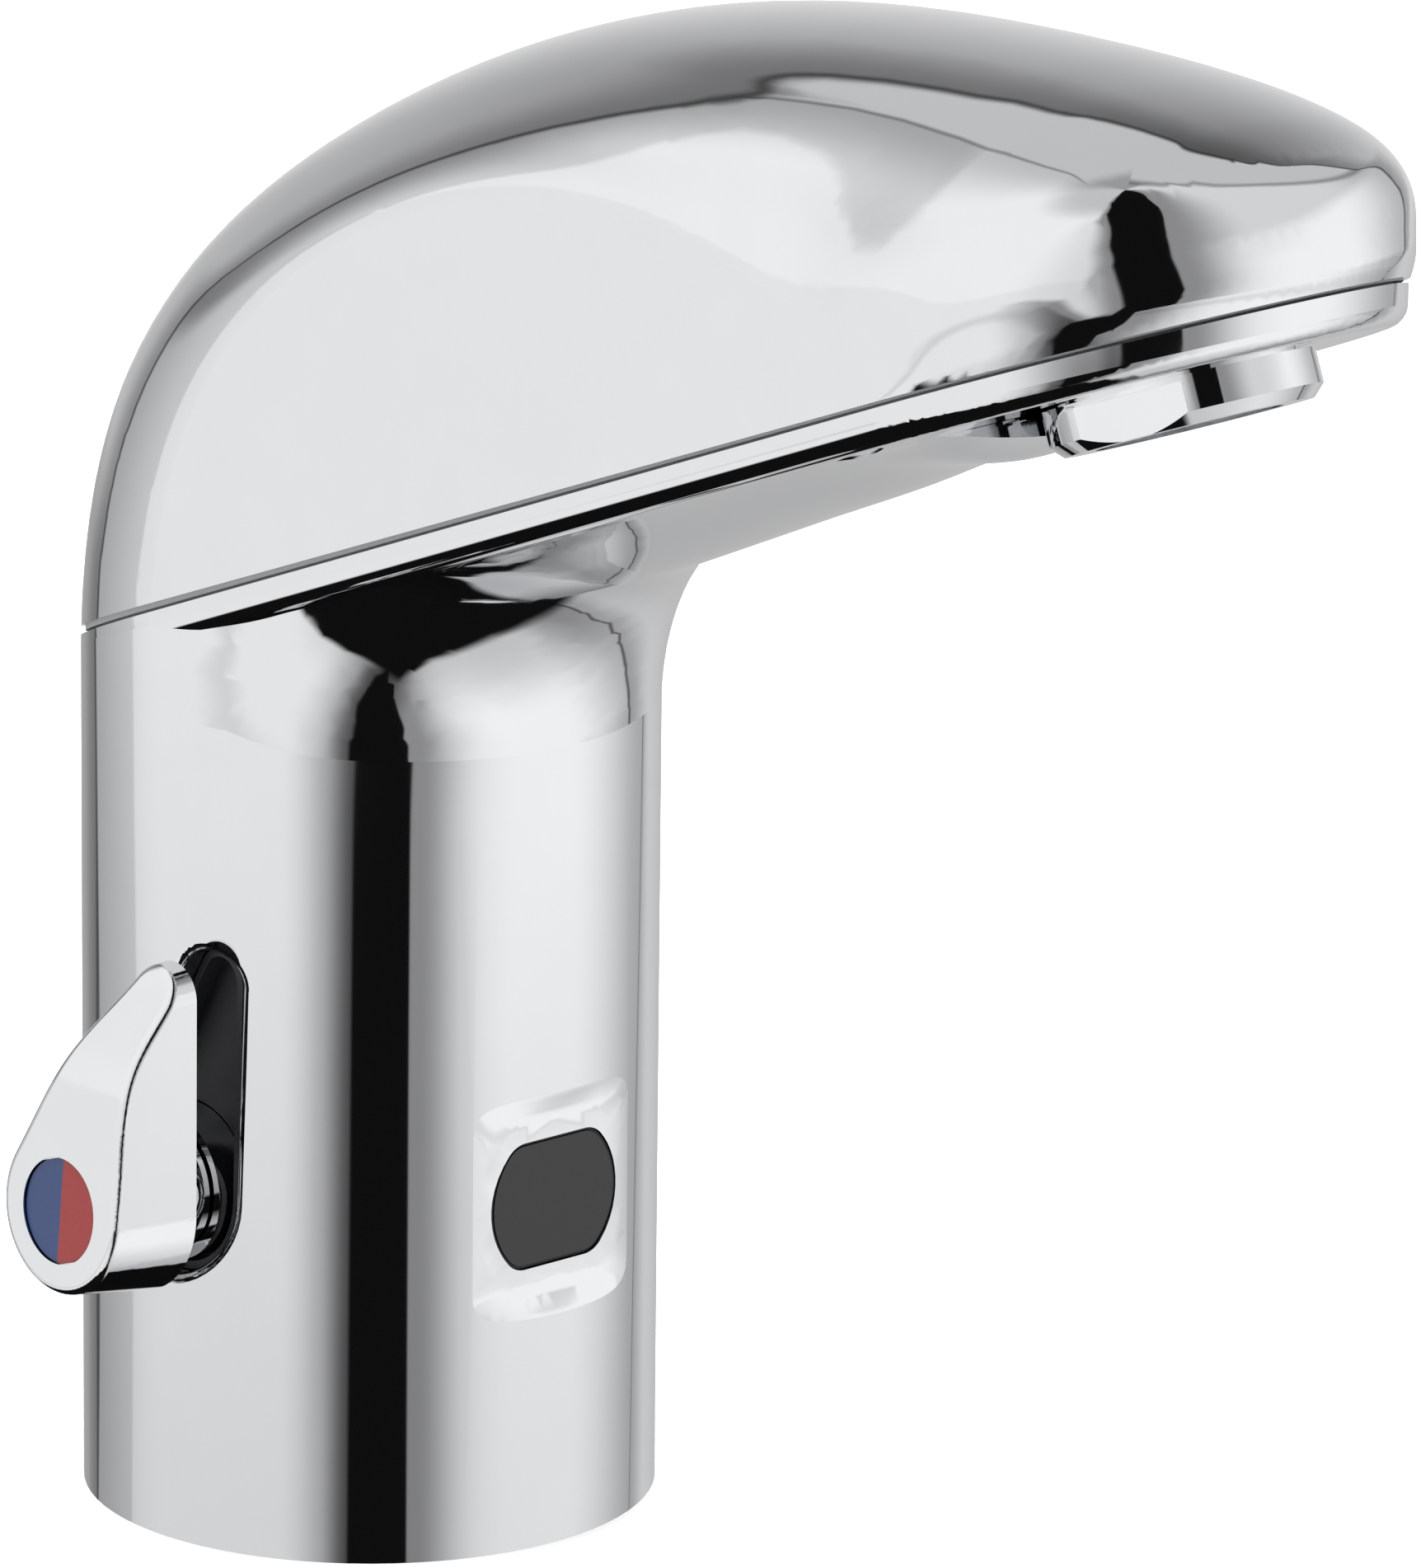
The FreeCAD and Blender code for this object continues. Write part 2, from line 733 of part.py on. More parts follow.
def tray_slab():
    """The spout's flat lip, rounded along its lower edge."""
    slab = stadium_slab(0.0, -lip_thickness, 0.0)
    low = [e for e in slab.Edges if all(abs(spout_height(v.Point) + lip_thickness) < 0.01 for v in e.Vertexes)]
    return slab.makeFillet(lip_round, low)


def spout_height(point):
    """Height of a point above the seam plane."""
    return spout_frame.inverse().multVec(point).z


def base_lugs():
    """Two inner lugs that take the base screws, tied to the column's wall."""
    lugs = []
    for x, y in lug_places():
        post = upright(lug_radius, base_plate_top, lug_top, x, y)
        web = upright_ring(bore_radius + 1, lug_circle, base_plate_top, lug_top)
        web = web.common(upright(lug_radius, base_plate_top, lug_top, x * lug_web_reach, y * lug_web_reach))
        lugs.append(post.fuse(web).common(upright(bore_radius + 1, 0, far)))
    return lugs


def lug_places():
    """Centres of the base screws."""
    turn = math.radians(lug_turn_deg)
    return [(side * lug_circle * math.sin(turn), lug_circle * math.cos(turn)) for side in (-1, 1)]


def pad_depth(x, z):
    """How far the soft flat round the window lies under the column's round, at a place on it."""
    under = (math.sqrt(column_radius ** 2 - x ** 2) - pad_face) / pad_blend
    across = pad_blend * math.log(1 + math.exp(under))
    past = (abs(z - window_height_mid) - pad_half_height) / pad_slope
    fade = min(max(1 - past, 0.0), 1.0)
    return across * fade * fade * (3 - 2 * fade) - pad_edge


def sensor_pad_cut():
    """Soft-edged flat that the window sits in."""
    half = pad_half_height + pad_slope + 1
    rows = []
    for i in range(pad_rows):
        z = window_height_mid - half + 2 * half * i / (pad_rows - 1)
        row = []
        for j in range(pad_columns):
            turn = pad_spread * (2 * j / (pad_columns - 1) - 1)
            x = column_radius * math.sin(turn)
            out = column_radius - pad_depth(x, z)
            row.append(V(out * math.sin(turn), -out * math.cos(turn), z))
        rows.append(row)
    surface = Part.BSplineSurface()
    surface.interpolate(rows)
    block_out = upright(column_radius + 2, window_height_mid - half, window_height_mid + half)
    wedge_x = (column_radius + 3) * math.sin(pad_spread * pad_trim)
    wedge = block(-wedge_x, wedge_x, -2 * column_radius, -column_radius / 2,
                  window_height_mid - half * pad_trim, window_height_mid + half * pad_trim)
    thick = surface.toShape().extrude(V(0, -3 * column_radius, 0))
    return thick.common(wedge).common(block_out)


pad_edge = 0.05              # the cut starts this far outside the column
pad_rows = 41
pad_columns = 41
pad_spread = math.asin(pad_half_width / column_radius)
pad_trim = 0.97


def make_body_casting():
    column = upright(column_radius, 0, far).cut(seam_slab(0, 2 * far))
    keel = throat_and_keel().cut(seam_slab(-tray_depth, 2 * far))
    casting = column.fuse(tray_slab()).fuse(keel)
    spigot = stadium_slab(spigot_inset, -tray_depth, spigot_rise)
    casting = casting.fuse(spigot)
    casting = casting.cut(stadium_slab(spigot_inset + spigot_wall, -tray_depth, far))
    casting = casting.cut(upright(bore_radius, -1, far))
    casting = casting.cut(upright(base_counterbore, -1, base_plate_top))
    for lug in base_lugs():
        casting = casting.fuse(lug)
    for x, y in lug_places():
        casting = casting.cut(upright(base_screw_radius - tapping, 0, base_screw_top, x, y))
    casting = casting.fuse(aerator_boss())
    casting = casting.cut(aerator_bores())
    casting = casting.cut(keel_pocket())
    casting = round_slot_edge(casting.cut(slot_prism(0.0, liner_floor_in - 2, far)))
    casting = casting.cut(sensor_pad_cut())
    casting = casting.cut(window_prism(window_gasket + slip, sensor_front, column_radius + 1))
    screw = Part.makeCylinder(cover_screw_radius + slip, far, V(0, 0, cover_screw_z), V(0, 1, 0))
    head = Part.makeCylinder(cover_screw_head_radius, far, V(0, column_radius - column_wall / 2, cover_screw_z),
                             V(0, 1, 0))
    casting = casting.cut(screw.fuse(head))
    for along in post_stations:
        for side in (-1, 1):
            bite = -tray_depth - chassis_screw_bite
            thread = chassis_screw_radius - chassis_thread_in
            casting = casting.cut(spout_rod(thread, along, side * post_side, bite, 0))
    return casting


def round_slot_edge(casting):
    """Ease the slot's outer edge, where it meets the column's outside."""
    edges = []
    for edge in casting.Edges:
        points = edge.discretize(5)
        on_wall = all(abs(math.hypot(p.x, p.y) - column_radius) < 0.01 for p in points)
        by_slot = all(p.x < -liner_floor_in and slot_low < p.z < slot_high for p in points)
        if on_wall and by_slot:
            edges.append(edge)
    return casting.makeFillet(slot_edge_round, edges)


def aerator_boss():
    """Round boss in the nose that the aerator screws into."""
    boss = aerator_rod(boss_radius, -lip_thickness + boss_bite, boss_top)
    return boss.common(stadium(spigot_inset + slip, 0, far))


def aerator_bores():
    """Thread, chamber and pipe socket of the boss."""
    thread = aerator_rod(aerator_thread_radius, -far, thread_top)
    chamber = aerator_rod(chamber_radius, thread_top - 1, boss_top - boss_roof)
    socket = Part.makeCylinder(pipe_bore, boss_radius, V(0, -boss_back + 1, pipe_above_seam), V(0, -1, 0))
    return thread.fuse([chamber, in_spout(socket)])


def keel_pocket():
    """Round relief in the keel's end, clear of the aerator ring."""
    return aerator_rod(aerator_radius + keel_pocket_gap, -far / 4, -lip_thickness)


# ---------------------------------------------------------------- aerator
def make_aerator_ring():
    low = -aerator_drop
    high = low + aerator_ring_height
    ring = aerator_rod(aerator_radius, low, high)
    edges = [e for e in ring.Edges if abs(spout_height(e.CenterOfMass) - low) < 0.01]
    ring = ring.makeChamfer(aerator_chamfer, edges)
    ring = ring.fuse(aerator_rod(aerator_thread_radius - thread_fit, high, thread_top - washer_thick))
    ring = ring.cut(aerator_rod(aerator_bore_radius, low + aerator_mouth_lip, far / 4))
    ring = ring.cut(aerator_rod(aerator_mouth_radius, low - 1, low + aerator_mouth_lip + 1))
    for turn in (wrench_flat_turn_deg, wrench_flat_turn_deg + 180):
        ring = ring.cut(wrench_flat(turn, low))
    return ring


def wrench_flat(turn, low):
    """Slice that leaves one flat on the ring."""
    cutter = block(-far / 4, far / 4, wrench_flat_radius, far / 4, low - 1, low + wrench_flat_height)
    cutter.rotate(V(0, 0, 0), V(0, 0, 1), 180 - turn)
    cutter.translate(V(0, -aerator_along, 0))
    return in_spout(cutter)


def make_outlet_grid():
    low = -aerator_drop + aerator_mouth_lip
    grid = aerator_rod(aerator_bore_radius - slip, low, low + grid_thick)
    holes = []
    rows = int((aerator_mouth_radius - 1) / (grid_pitch * grid_row_share))
    for row in range(-rows, rows + 1):
        for col in range(-rows - 1, rows + 2):
            across = (col + 0.5 * (row % 2)) * grid_pitch
            along = row * grid_pitch * grid_row_share
            if math.hypot(across, along) < aerator_mouth_radius - grid_hole_radius - 0.5:
                spot = aerator_along + along
                holes.append(spout_rod(grid_hole_radius, spot, across, low - 1, low + grid_thick + 1))
    return grid.cut(Part.makeCompound(holes))


def make_jet_insert():
    low = -aerator_drop + aerator_mouth_lip + grid_thick
    body = aerator_rod(aerator_bore_radius - slip, low, low + jet_insert_height)
    return body.cut(aerator_rod(aerator_bore_radius - jet_insert_wall, low + jet_insert_floor, low + jet_insert_height + 1))


def make_flow_regulator():
    low = -aerator_drop + aerator_mouth_lip + grid_thick + jet_insert_height
    disc = aerator_rod(aerator_bore_radius - slip, low, low + regulator_thick)
    return disc.cut(aerator_rod(regulator_hole_radius, low - 1, low + regulator_thick + 1))


def make_aerator_washer():
    return aerator_ring_between(aerator_thread_radius - slip, aerator_bore_radius + slip,
                                thread_top - washer_thick, thread_top)


# ---------------------------------------------------------------- sensor
def make_sensor_window():
    return window_prism(0.0, sensor_front, window_face)


def make_window_gasket():
    outer = window_prism(window_gasket, sensor_front + 1, window_face - window_proud)
    return outer.cut(window_prism(running, 0, far))


def make_sensor_housing():
    back = sensor_front - sensor_depth
    low = window_height_mid - sensor_height / 2
    high = window_height_mid + sensor_height / 2
    wall = sensor_wall
    side = sensor_half_width
    box = block(-side, side, -sensor_front + slip, -back, low, high)
    return box.cut(block(-side + wall, side - wall, -far, -back - wall, low + wall, high - wall))


def make_sensor_board():
    back = sensor_front - sensor_depth + sensor_wall
    side = sensor_half_width - sensor_wall - slip
    half = sensor_height / 2 - sensor_wall - slip
    return block(-side, side, -back - board_thick, -back, window_height_mid - half, window_height_mid + half)


def make_diode(side):
    start = sensor_front - sensor_depth + sensor_wall + board_thick
    length = sensor_front - start - slip - diode_radius
    spot = V(side * diode_spread, -start, window_height_mid)
    can = Part.makeCylinder(diode_radius, length, spot, V(0, -1, 0))
    tip = Part.makeSphere(diode_radius, V(spot.x, -start - length, window_height_mid))
    return can.fuse(tip)


def bracket_screw_z():
    """Height of the bracket's screws, above the sensor housing."""
    return window_height_mid + sensor_height / 2 + bracket_screw_lift


def make_sensor_bracket():
    back = sensor_front - sensor_depth - bracket_thick
    low = window_height_mid - sensor_height / 2
    plate = block(-cartridge_face + slip, block_tower_right, -back - bracket_thick, -back,
                  low, bracket_screw_z() + bracket_edge)
    for x in bracket_screw_x:
        spot = V(x, 0, bracket_screw_z())
        plate = plate.cut(Part.makeCylinder(bracket_screw_radius + slip, far, spot, V(0, -1, 0)))
    return plate


def make_bracket_screws():
    back = sensor_front - sensor_depth - bracket_thick
    screws = []
    for x in bracket_screw_x:
        end = V(x, -back + bracket_screw_length - bracket_thick, bracket_screw_z())
        shaft = Part.makeCylinder(bracket_screw_radius - thread_fit, bracket_screw_length, end, V(0, -1, 0))
        head = Part.makeCylinder(bracket_screw_head, bracket_screw_head_thick,
                                 V(x, -back - bracket_thick, bracket_screw_z()), V(0, -1, 0))
        screws.append(shaft.fuse(head))
    return Part.makeCompound(screws)


# ---------------------------------------------------------------- lever and cartridge
def make_slot_liner():
    cup = slot_prism(slip, liner_floor_in, liner_edge_in)
    cup = cup.cut(slot_prism(slip + liner_wall, liner_floor_out, far))
    return cup.cut(side_rod(collar_radius + slip, 0, far))


def make_cartridge_nut():
    return side_ring(nut_radius, collar_radius + slip, sleeve_end, liner_floor_in)


def make_cartridge_sleeve():
    sleeve = side_rod(cartridge_radius, cartridge_face, sleeve_end)
    sleeve = sleeve.cut(side_rod(cartridge_radius - cartridge_wall, 0, sleeve_end - cartridge_end_wall))
    return sleeve.cut(side_rod(spindle_radius + running, 0, far))


def make_fixed_disc():
    disc = side_rod(ceramic_radius, cartridge_face, cartridge_face + ceramic_thick)
    for forward in (-port_offset, port_offset):
        disc = disc.cut(side_rod(port_radius, 0, far, -lever_forward + forward))
    return disc.cut(side_rod(port_radius, 0, far, None, lever_height + outlet_port_lift))


def make_moving_disc():
    start = cartridge_face + ceramic_thick + running
    disc = side_rod(ceramic_radius - free, start, start + ceramic_thick)
    return disc.cut(side_rod(port_offset + port_radius, 0, start + ceramic_thick / 2))


def make_spindle():
    start = cartridge_face + 2 * ceramic_thick + running
    driver = side_rod(ceramic_radius - free, start, start + driver_thick)
    return driver.fuse(side_rod(spindle_radius, start, spindle_end))


def make_spindle_seal():
    start = cartridge_face + 2 * ceramic_thick + running + driver_thick + free
    return side_ring(cartridge_radius - cartridge_wall - slip, spindle_radius + running,
                     start, sleeve_end - cartridge_end_wall)


def make_spindle_collar():
    return side_ring(collar_radius, spindle_radius + running, sleeve_end, collar_end)


def lever_face_curve():
    """Side profile of the lever's outer face, from below the hub to above the tip."""
    slope = math.tan(math.radians(lever_face_tilt_deg))
    low = lever_height - lever_hub_radius - 4
    top = lever_tip_height + lever_tip_radius + 2
    flat = marker_radius * lever_flat_reach
    knots = [
        (lever_face + slope * (lever_height - low), low),
        (lever_face, lever_height),
        (lever_face - slope * flat, lever_height + flat),
        ((lever_face + lever_tip_face) / 2 + lever_belly,
         lever_height + lever_belly_share * (top - lever_height)),
        (lever_tip_face, lever_tip_height),
        (lever_tip_face - lever_tip_curl, top),
    ]
    curve = Part.BSplineCurve()
    curve.interpolate([V(-out, far / 8, z) for out, z in knots])
    return curve, knots


def make_lever():
    curve, knots = lever_face_curve()
    wide = teardrop(-lever_forward, lever_height, lever_hub_radius,
                    -slot_tip_forward, lever_tip_height, lever_tip_radius, lever_inner)
    outer_end = lever_face + 3
    narrow = teardrop(-lever_forward, lever_height, lever_hub_radius - lever_draft,
                      -slot_tip_forward + lever_tip_back, lever_tip_height - lever_tip_dip,
                      lever_tip_radius - lever_tip_taper, outer_end)
    blank = Part.makeLoft([wide, narrow], True, True)
    start = V(0, far / 8, knots[0][1])
    end = V(0, far / 8, knots[-1][1])
    curve_start = V(-knots[0][0], far / 8, knots[0][1])
    curve_end = V(-knots[-1][0], far / 8, knots[-1][1])
    outline = Part.Wire([curve.toShape(),
                         Part.LineSegment(curve_end, end).toShape(),
                         Part.LineSegment(end, start).toShape(),
                         Part.LineSegment(start, curve_start).toShape()])
    profile = Part.Face(outline).extrude(V(0, -far / 4, 0))
    handle = blank.common(profile)
    inner_edges = [e for e in handle.Edges if all(abs(v.X + lever_inner) < 0.01 for v in e.Vertexes)]
    rounded = [e for e in handle.Edges if not any(e.isSame(other) for other in inner_edges)
               and min(abs(v.X) for v in e.Vertexes) > lever_inner + 0.5]
    handle = handle.makeFillet(lever_edge_round, rounded)
    handle = handle.fuse(side_rod(lever_neck_radius, lever_neck_start, lever_inner + 1))
    handle = handle.cut(side_rod(spindle_radius + running, 0, spindle_end + free))
    seat = Part.makeCylinder(marker_radius + marker_gap, far / 4, V(0, 0, -marker_recess))
    handle = handle.cut(on_lever_face(seat))
    grub_spot = V(-(lever_inner + spindle_end) / 2, -lever_forward, lever_height)
    return handle.cut(Part.makeCylinder(grub_radius, far, grub_spot, V(0, 0, -1)))


def on_lever_face(shape):
    """Carry a shape drawn about +Z onto the lever's face, its +Z pointing outwards."""
    placed = shape.copy()
    turn = FreeCAD.Rotation(V(0, 1, 0), -90 + lever_face_tilt_deg)
    spot = V(-lever_face, -lever_forward, lever_height)
    placed.Placement = FreeCAD.Placement(spot, turn).multiply(placed.Placement)
    return placed


def make_marker(side):
    disc = Part.makeCylinder(marker_radius, marker_thick, V(0, 0, -marker_recess))
    half = block(-far, far, 0, far, -far, far) if side > 0 else block(-far, far, -far, 0, -far, far)
    return on_lever_face(disc.common(half))


def make_lever_grub():
    grub_x = (lever_inner + spindle_end) / 2
    start = lever_height - spindle_radius - running
    spot = V(-grub_x, -lever_forward, start)
    return Part.makeCylinder(grub_radius - thread_fit, grub_length, spot, V(0, 0, -1))


# ---------------------------------------------------------------- base and waterways
def make_base_gasket():
    gasket = upright(base_counterbore - slip, 0, base_gasket_thick)
    gasket = gasket.cut(upright(stud_thread_radius + free, -1, base_gasket_thick + 1, -stud_side, 0))
    return cut_base_holes(gasket)


def cut_base_holes(disc):
    """Hose holes shared by the base plate and its gasket."""
    for side in (-1, 1):
        disc = disc.cut(upright(hose_hole_radius, -1, base_plate_top + 1, hose_side, side * hose_spread))
    return disc


def make_base_plate():
    plate = upright(base_counterbore - base_plate_clearance, base_gasket_thick, base_plate_top)
    plate = cut_base_holes(plate)
    plate = plate.cut(upright(stud_thread_radius, -1, base_plate_top + 1, -stud_side, 0))
    for x, y in lug_places() + block_screw_places():
        plate = plate.cut(upright(base_screw_radius + slip, -1, base_plate_top + 1, x, y))
        plate = plate.cut(upright(base_screw_head_radius, -1, base_gasket_thick + screw_counterbore, x, y))
    return plate


def block_screw_places():
    """Centres of the screws that hold the valve block on the base plate."""
    return [(-block_screw_side, side * block_screw_spread) for side in (-1, 1)]


def make_base_screws():
    """Four screws up through the plate: two into the column's lugs, two into the valve block."""
    head_top = base_gasket_thick + screw_counterbore
    shank = base_screw_radius - tapping - thread_fit
    screws = []
    for x, y in lug_places() + block_screw_places():
        head = upright(base_screw_head_radius - slip, base_gasket_thick + slip, head_top, x, y)
        screws.append(head.fuse(upright(shank, head_top, head_top + base_screw_length, x, y)))
    return Part.makeCompound(screws)


def hose_port_y(side):
    """Place of a hose port: the cold one at the back, the hot one at the front."""
    return side * hose_spread


def make_valve_block():
    foot = block(-block_left, block_right, -block_half_depth, block_half_depth, base_plate_top, block_top)
    tower = block(-cartridge_face, block_tower_right, -block_tower_half_depth, block_tower_half_depth,
                  block_top, block_tower_top)
    body = foot.fuse(tower)
    for side in (-1, 1):
        y = hose_port_y(side)
        body = body.cut(upright(hose_thread_radius, 0, check_z, hose_side, y))
        body = body.cut(upright(check_radius, check_z - 1, check_sleeve_z + check_length, hose_side, y))
        body = body.cut(upright(channel_radius, check_z, lever_height, hose_side, y))
        inner_y = -lever_forward + side * port_offset
        reach_y = abs(y - inner_y)
        cross = Part.makeCylinder(channel_radius, reach_y, V(hose_side, y, lever_height), V(0, -side, 0))
        body = body.cut(cross)
        body = body.cut(side_rod(port_radius, -hose_side, cartridge_face + 1, inner_y))
    outlet_h = lever_height + outlet_port_lift
    body = body.cut(side_rod(port_radius, -mixed_side, cartridge_face + 1, None, outlet_h))
    body = body.cut(upright(channel_radius, outlet_h, far, mixed_side, -lever_forward))
    for x, y in block_screw_places():
        body = body.cut(upright(base_screw_radius - tapping, 0, base_screw_top, x, y))
    for x in bracket_screw_x:
        bottom = V(x, -block_tower_half_depth + bracket_screw_length + 1, bracket_screw_z())
        hole = Part.makeCylinder(bracket_screw_radius, bracket_screw_length + 1, bottom, V(0, -1, 0))
        body = body.cut(hole)
    return body


mixed_side = 7.0


def make_strainers():
    nets = []
    for side in (-1, 1):
        y = hose_port_y(side)
        net = upright(check_radius - slip, check_z, check_sleeve_z, hose_side, y)
        holes = []
        for i in range(-2, 3):
            for j in range(-2, 3):
                holes.append(upright(0.45, 0, far, hose_side + i * 1.4, y + j * 1.4))
        nets.append(net.cut(Part.makeCompound(holes)))
    return Part.makeCompound(nets)


def make_check_sleeve(side):
    y = hose_port_y(side)
    sleeve = upright(check_radius - slip, check_sleeve_z, check_sleeve_z + check_length, hose_side, y)
    inner = check_radius - check_wall
    sleeve = sleeve.cut(upright(inner, check_sleeve_z + check_end_wall,
                                check_sleeve_z + check_length - check_end_wall, hose_side, y))
    return sleeve.cut(upright(inner - check_seat_in, 0, far, hose_side, y))


def make_check_poppet(side):
    y = hose_port_y(side)
    low = check_sleeve_z + check_end_wall + running
    disc = upright(poppet_radius, low, low + poppet_thick, hose_side, y)
    return disc.fuse(upright(poppet_stem_radius, low + poppet_thick, low + poppet_thick + poppet_stem, hose_side, y))


def make_check_spring(side):
    low = check_sleeve_z + check_end_wall + running + poppet_thick + spring_gap
    top = check_sleeve_z + check_length - check_end_wall - spring_gap
    return coil_spring(check_spring_radius, check_spring_wire, low, top, check_spring_turns, hose_side, hose_port_y(side))


# ---------------------------------------------------------------- solenoid valve
def valve_rod(radius, bottom, top):
    """Cylinder about the solenoid's axis."""
    return upright(radius, bottom, top, valve_side, valve_back)


def valve_ring(outer, inner, bottom, top):
    """Ring about the solenoid's axis."""
    return upright_ring(outer, inner, bottom, top, valve_side, valve_back)


def bonnet_screw_places():
    """Centres of the bonnet screws."""
    places = []
    for i in range(bonnet_screw_count):
        turn = 2 * math.pi * (i + 0.5) / bonnet_screw_count
        places.append((valve_side + bonnet_screw_circle * math.cos(turn),
                       valve_back + bonnet_screw_circle * math.sin(turn)))
    return places


def make_valve_base():
    base = valve_rod(valve_radius, valve_base_z, valve_top_z)
    spout = Part.makeCylinder(outlet_boss_radius, outlet_boss_end + valve_back, V(valve_side, valve_back, outlet_z),
                              V(0, -1, 0))
    base = base.fuse(spout)
    pocket = valve_ring(valve_pocket_radius, valve_seat_radius, valve_top_z - valve_pocket_depth, valve_top_z + 1)
    base = base.cut(pocket)
    base = base.cut(valve_rod(valve_seat_bore, outlet_z, valve_top_z + 1))
    base = base.cut(Part.makeCylinder(valve_seat_bore, outlet_boss_end + valve_back + 1,
                                      V(valve_side, valve_back, outlet_z), V(0, -1, 0)))
    base = base.cut(upright(channel_radius, 0, valve_top_z - 1, mixed_side, -lever_forward))
    for x, y in bonnet_screw_places():
        base = base.cut(upright(bonnet_screw_radius + thread_fit, valve_top_z - 5, valve_top_z + 1, x, y))
    return base


def make_diaphragm():
    disc = valve_rod(valve_radius - slip, valve_top_z, bonnet_z)
    for x, y in bonnet_screw_places():
        disc = disc.cut(upright(bonnet_screw_radius + slip, 0, far, x, y))
    return disc


def make_valve_bonnet():
    bonnet = valve_rod(valve_radius, bonnet_z, core_z)
    bonnet = bonnet.cut(valve_rod(valve_pocket_radius, bonnet_z - 1, bonnet_z + bonnet_chamber))
    bonnet = bonnet.cut(valve_rod(plunger_radius + slip, 0, far))
    for x, y in bonnet_screw_places():
        bonnet = bonnet.cut(upright(bonnet_screw_radius + slip, 0, far, x, y))
    return bonnet


def make_bonnet_screws():
    screws = []
    for x, y in bonnet_screw_places():
        shaft = upright(bonnet_screw_radius, valve_top_z - bonnet_screw_bite, core_z, x, y)
        head = upright(bonnet_screw_head, core_z, core_z + core_flange_thick - slip, x, y)
        screws.append(shaft.fuse(head))
    return Part.makeCompound(screws)


def make_core_tube():
    tube = valve_rod(core_radius, core_z, core_top_z)
    tube = tube.fuse(valve_rod(core_flange_radius, core_z, coil_z))
    return tube.cut(valve_rod(core_radius - core_wall, 0, core_top_z - core_roof))


def make_plunger():
    bottom = bonnet_z + plunger_rest_gap
    plunger = valve_rod(plunger_radius - 2 * running, bottom, bottom + plunger_length)
    return plunger.cut(valve_rod(plunger_vent_radius, bottom + plunger_length - plunger_vent, far))


def make_plunger_spring():
    low = bonnet_z + plunger_rest_gap + plunger_length + spring_gap
    return coil_spring(plunger_spring_radius, plunger_spring_wire, low, core_top_z - core_roof - spring_gap,
                       plunger_spring_turns, valve_side, valve_back)


def make_coil():
    return valve_ring(coil_radius, core_radius + slip, coil_z, coil_z + coil_height)


def make_coil_shroud():
    top = coil_z + coil_height
    shroud = valve_ring(coil_radius + slip + shroud_wall, coil_radius + slip, coil_z, top)
    return shroud.fuse(valve_ring(coil_radius + slip + shroud_wall, core_radius + slip, top, top + shroud_wall))


# ---------------------------------------------------------------- outlet pipe
def pipe_points():
    """Corners of the outlet pipe: out of the valve, up the column, along the spout."""
    turn_up = V(0, -pipe_riser_forward, outlet_z)
    start = V(0, -outlet_boss_end - pipe_seal_thick, outlet_z)
    along_at_riser = (pipe_riser_forward + pipe_above_seam * rise_sin) / rise_cos
    turn_out = spout_frame.multVec(V(0, -along_at_riser, pipe_above_seam))
    end = spout_frame.multVec(V(0, -pipe_end, pipe_above_seam))
    return [start, turn_up, turn_out, end]


def make_outlet_pipe():
    radii = [pipe_low_bend, pipe_high_bend]
    outer = rod_along(pipe_points(), radii, pipe_radius)
    return outer.cut(rod_along(pipe_points(), radii, pipe_bore))


def make_pipe_seals():
    low = Part.makeCylinder(pipe_radius, pipe_seal_thick, V(0, -outlet_boss_end, outlet_z), V(0, -1, 0))
    low = low.cut(Part.makeCylinder(valve_seat_bore, far, V(0, 0, outlet_z), V(0, -1, 0)))
    high = Part.makeCylinder(pipe_radius, pipe_seal_thick, V(0, -pipe_end, pipe_above_seam), V(0, -1, 0))
    high = high.cut(Part.makeCylinder(pipe_bore, far, V(0, 0, pipe_above_seam), V(0, -1, 0)))
    return Part.makeCompound([low, in_spout(high).common(seat_face_back())])


def seat_face_back():
    """Everything outside the round boss, so that the seal's face fits it."""
    return spout_block(-far, far, -far, far, -far / 2, far / 2).cut(aerator_rod(boss_radius, -far / 2, far / 2))


# ---------------------------------------------------------------- chassis and electronics
def make_chassis():
    low = chassis_above_seam
    high = low + chassis_thick
    plate = spout_block(-chassis_half_width, chassis_half_width, chassis_back, chassis_front, low, high)
    for side in (-1, 1):
        inner = chassis_half_width - chassis_rail
        rail = spout_block(min(side * inner, side * chassis_half_width), max(side * inner, side * chassis_half_width),
                           rail_back, chassis_front, -tray_depth, low)
        plate = plate.fuse(rail)
        for along in post_stations:
            plate = plate.fuse(spout_rod(post_radius, along, side * post_side, -tray_depth, low))
    for side in (-1, 1):
        for along in post_stations:
            plate = plate.cut(spout_rod(chassis_screw_radius + slip, along, side * post_side, -far / 4, far / 4))
            plate = plate.cut(spout_rod(chassis_screw_head + slip, along, side * post_side, low, far / 4))
    for along, side in lead_holes():
        plate = plate.cut(spout_rod(lead_radius + free, along, side, -1, far / 4))
    return plate


rail_back = 36.0


def lead_holes():
    """Where the leads rise through the chassis: (along, across)."""
    return [(chassis_front - sensor_lead_in, lead_side), (control_back + valve_lead_on, -lead_side)]


def make_chassis_screws():
    screws = []
    for side in (-1, 1):
        for along in post_stations:
            shaft = spout_rod(chassis_screw_radius - chassis_thread_in - thread_fit, along, side * post_side,
                              -tray_depth - chassis_screw_bite + chassis_screw_short, chassis_above_seam)
            head = spout_rod(chassis_screw_head, along, side * post_side, chassis_above_seam,
                             chassis_above_seam + chassis_thick - slip)
            screws.append(shaft.fuse(head))
    return Part.makeCompound(screws)


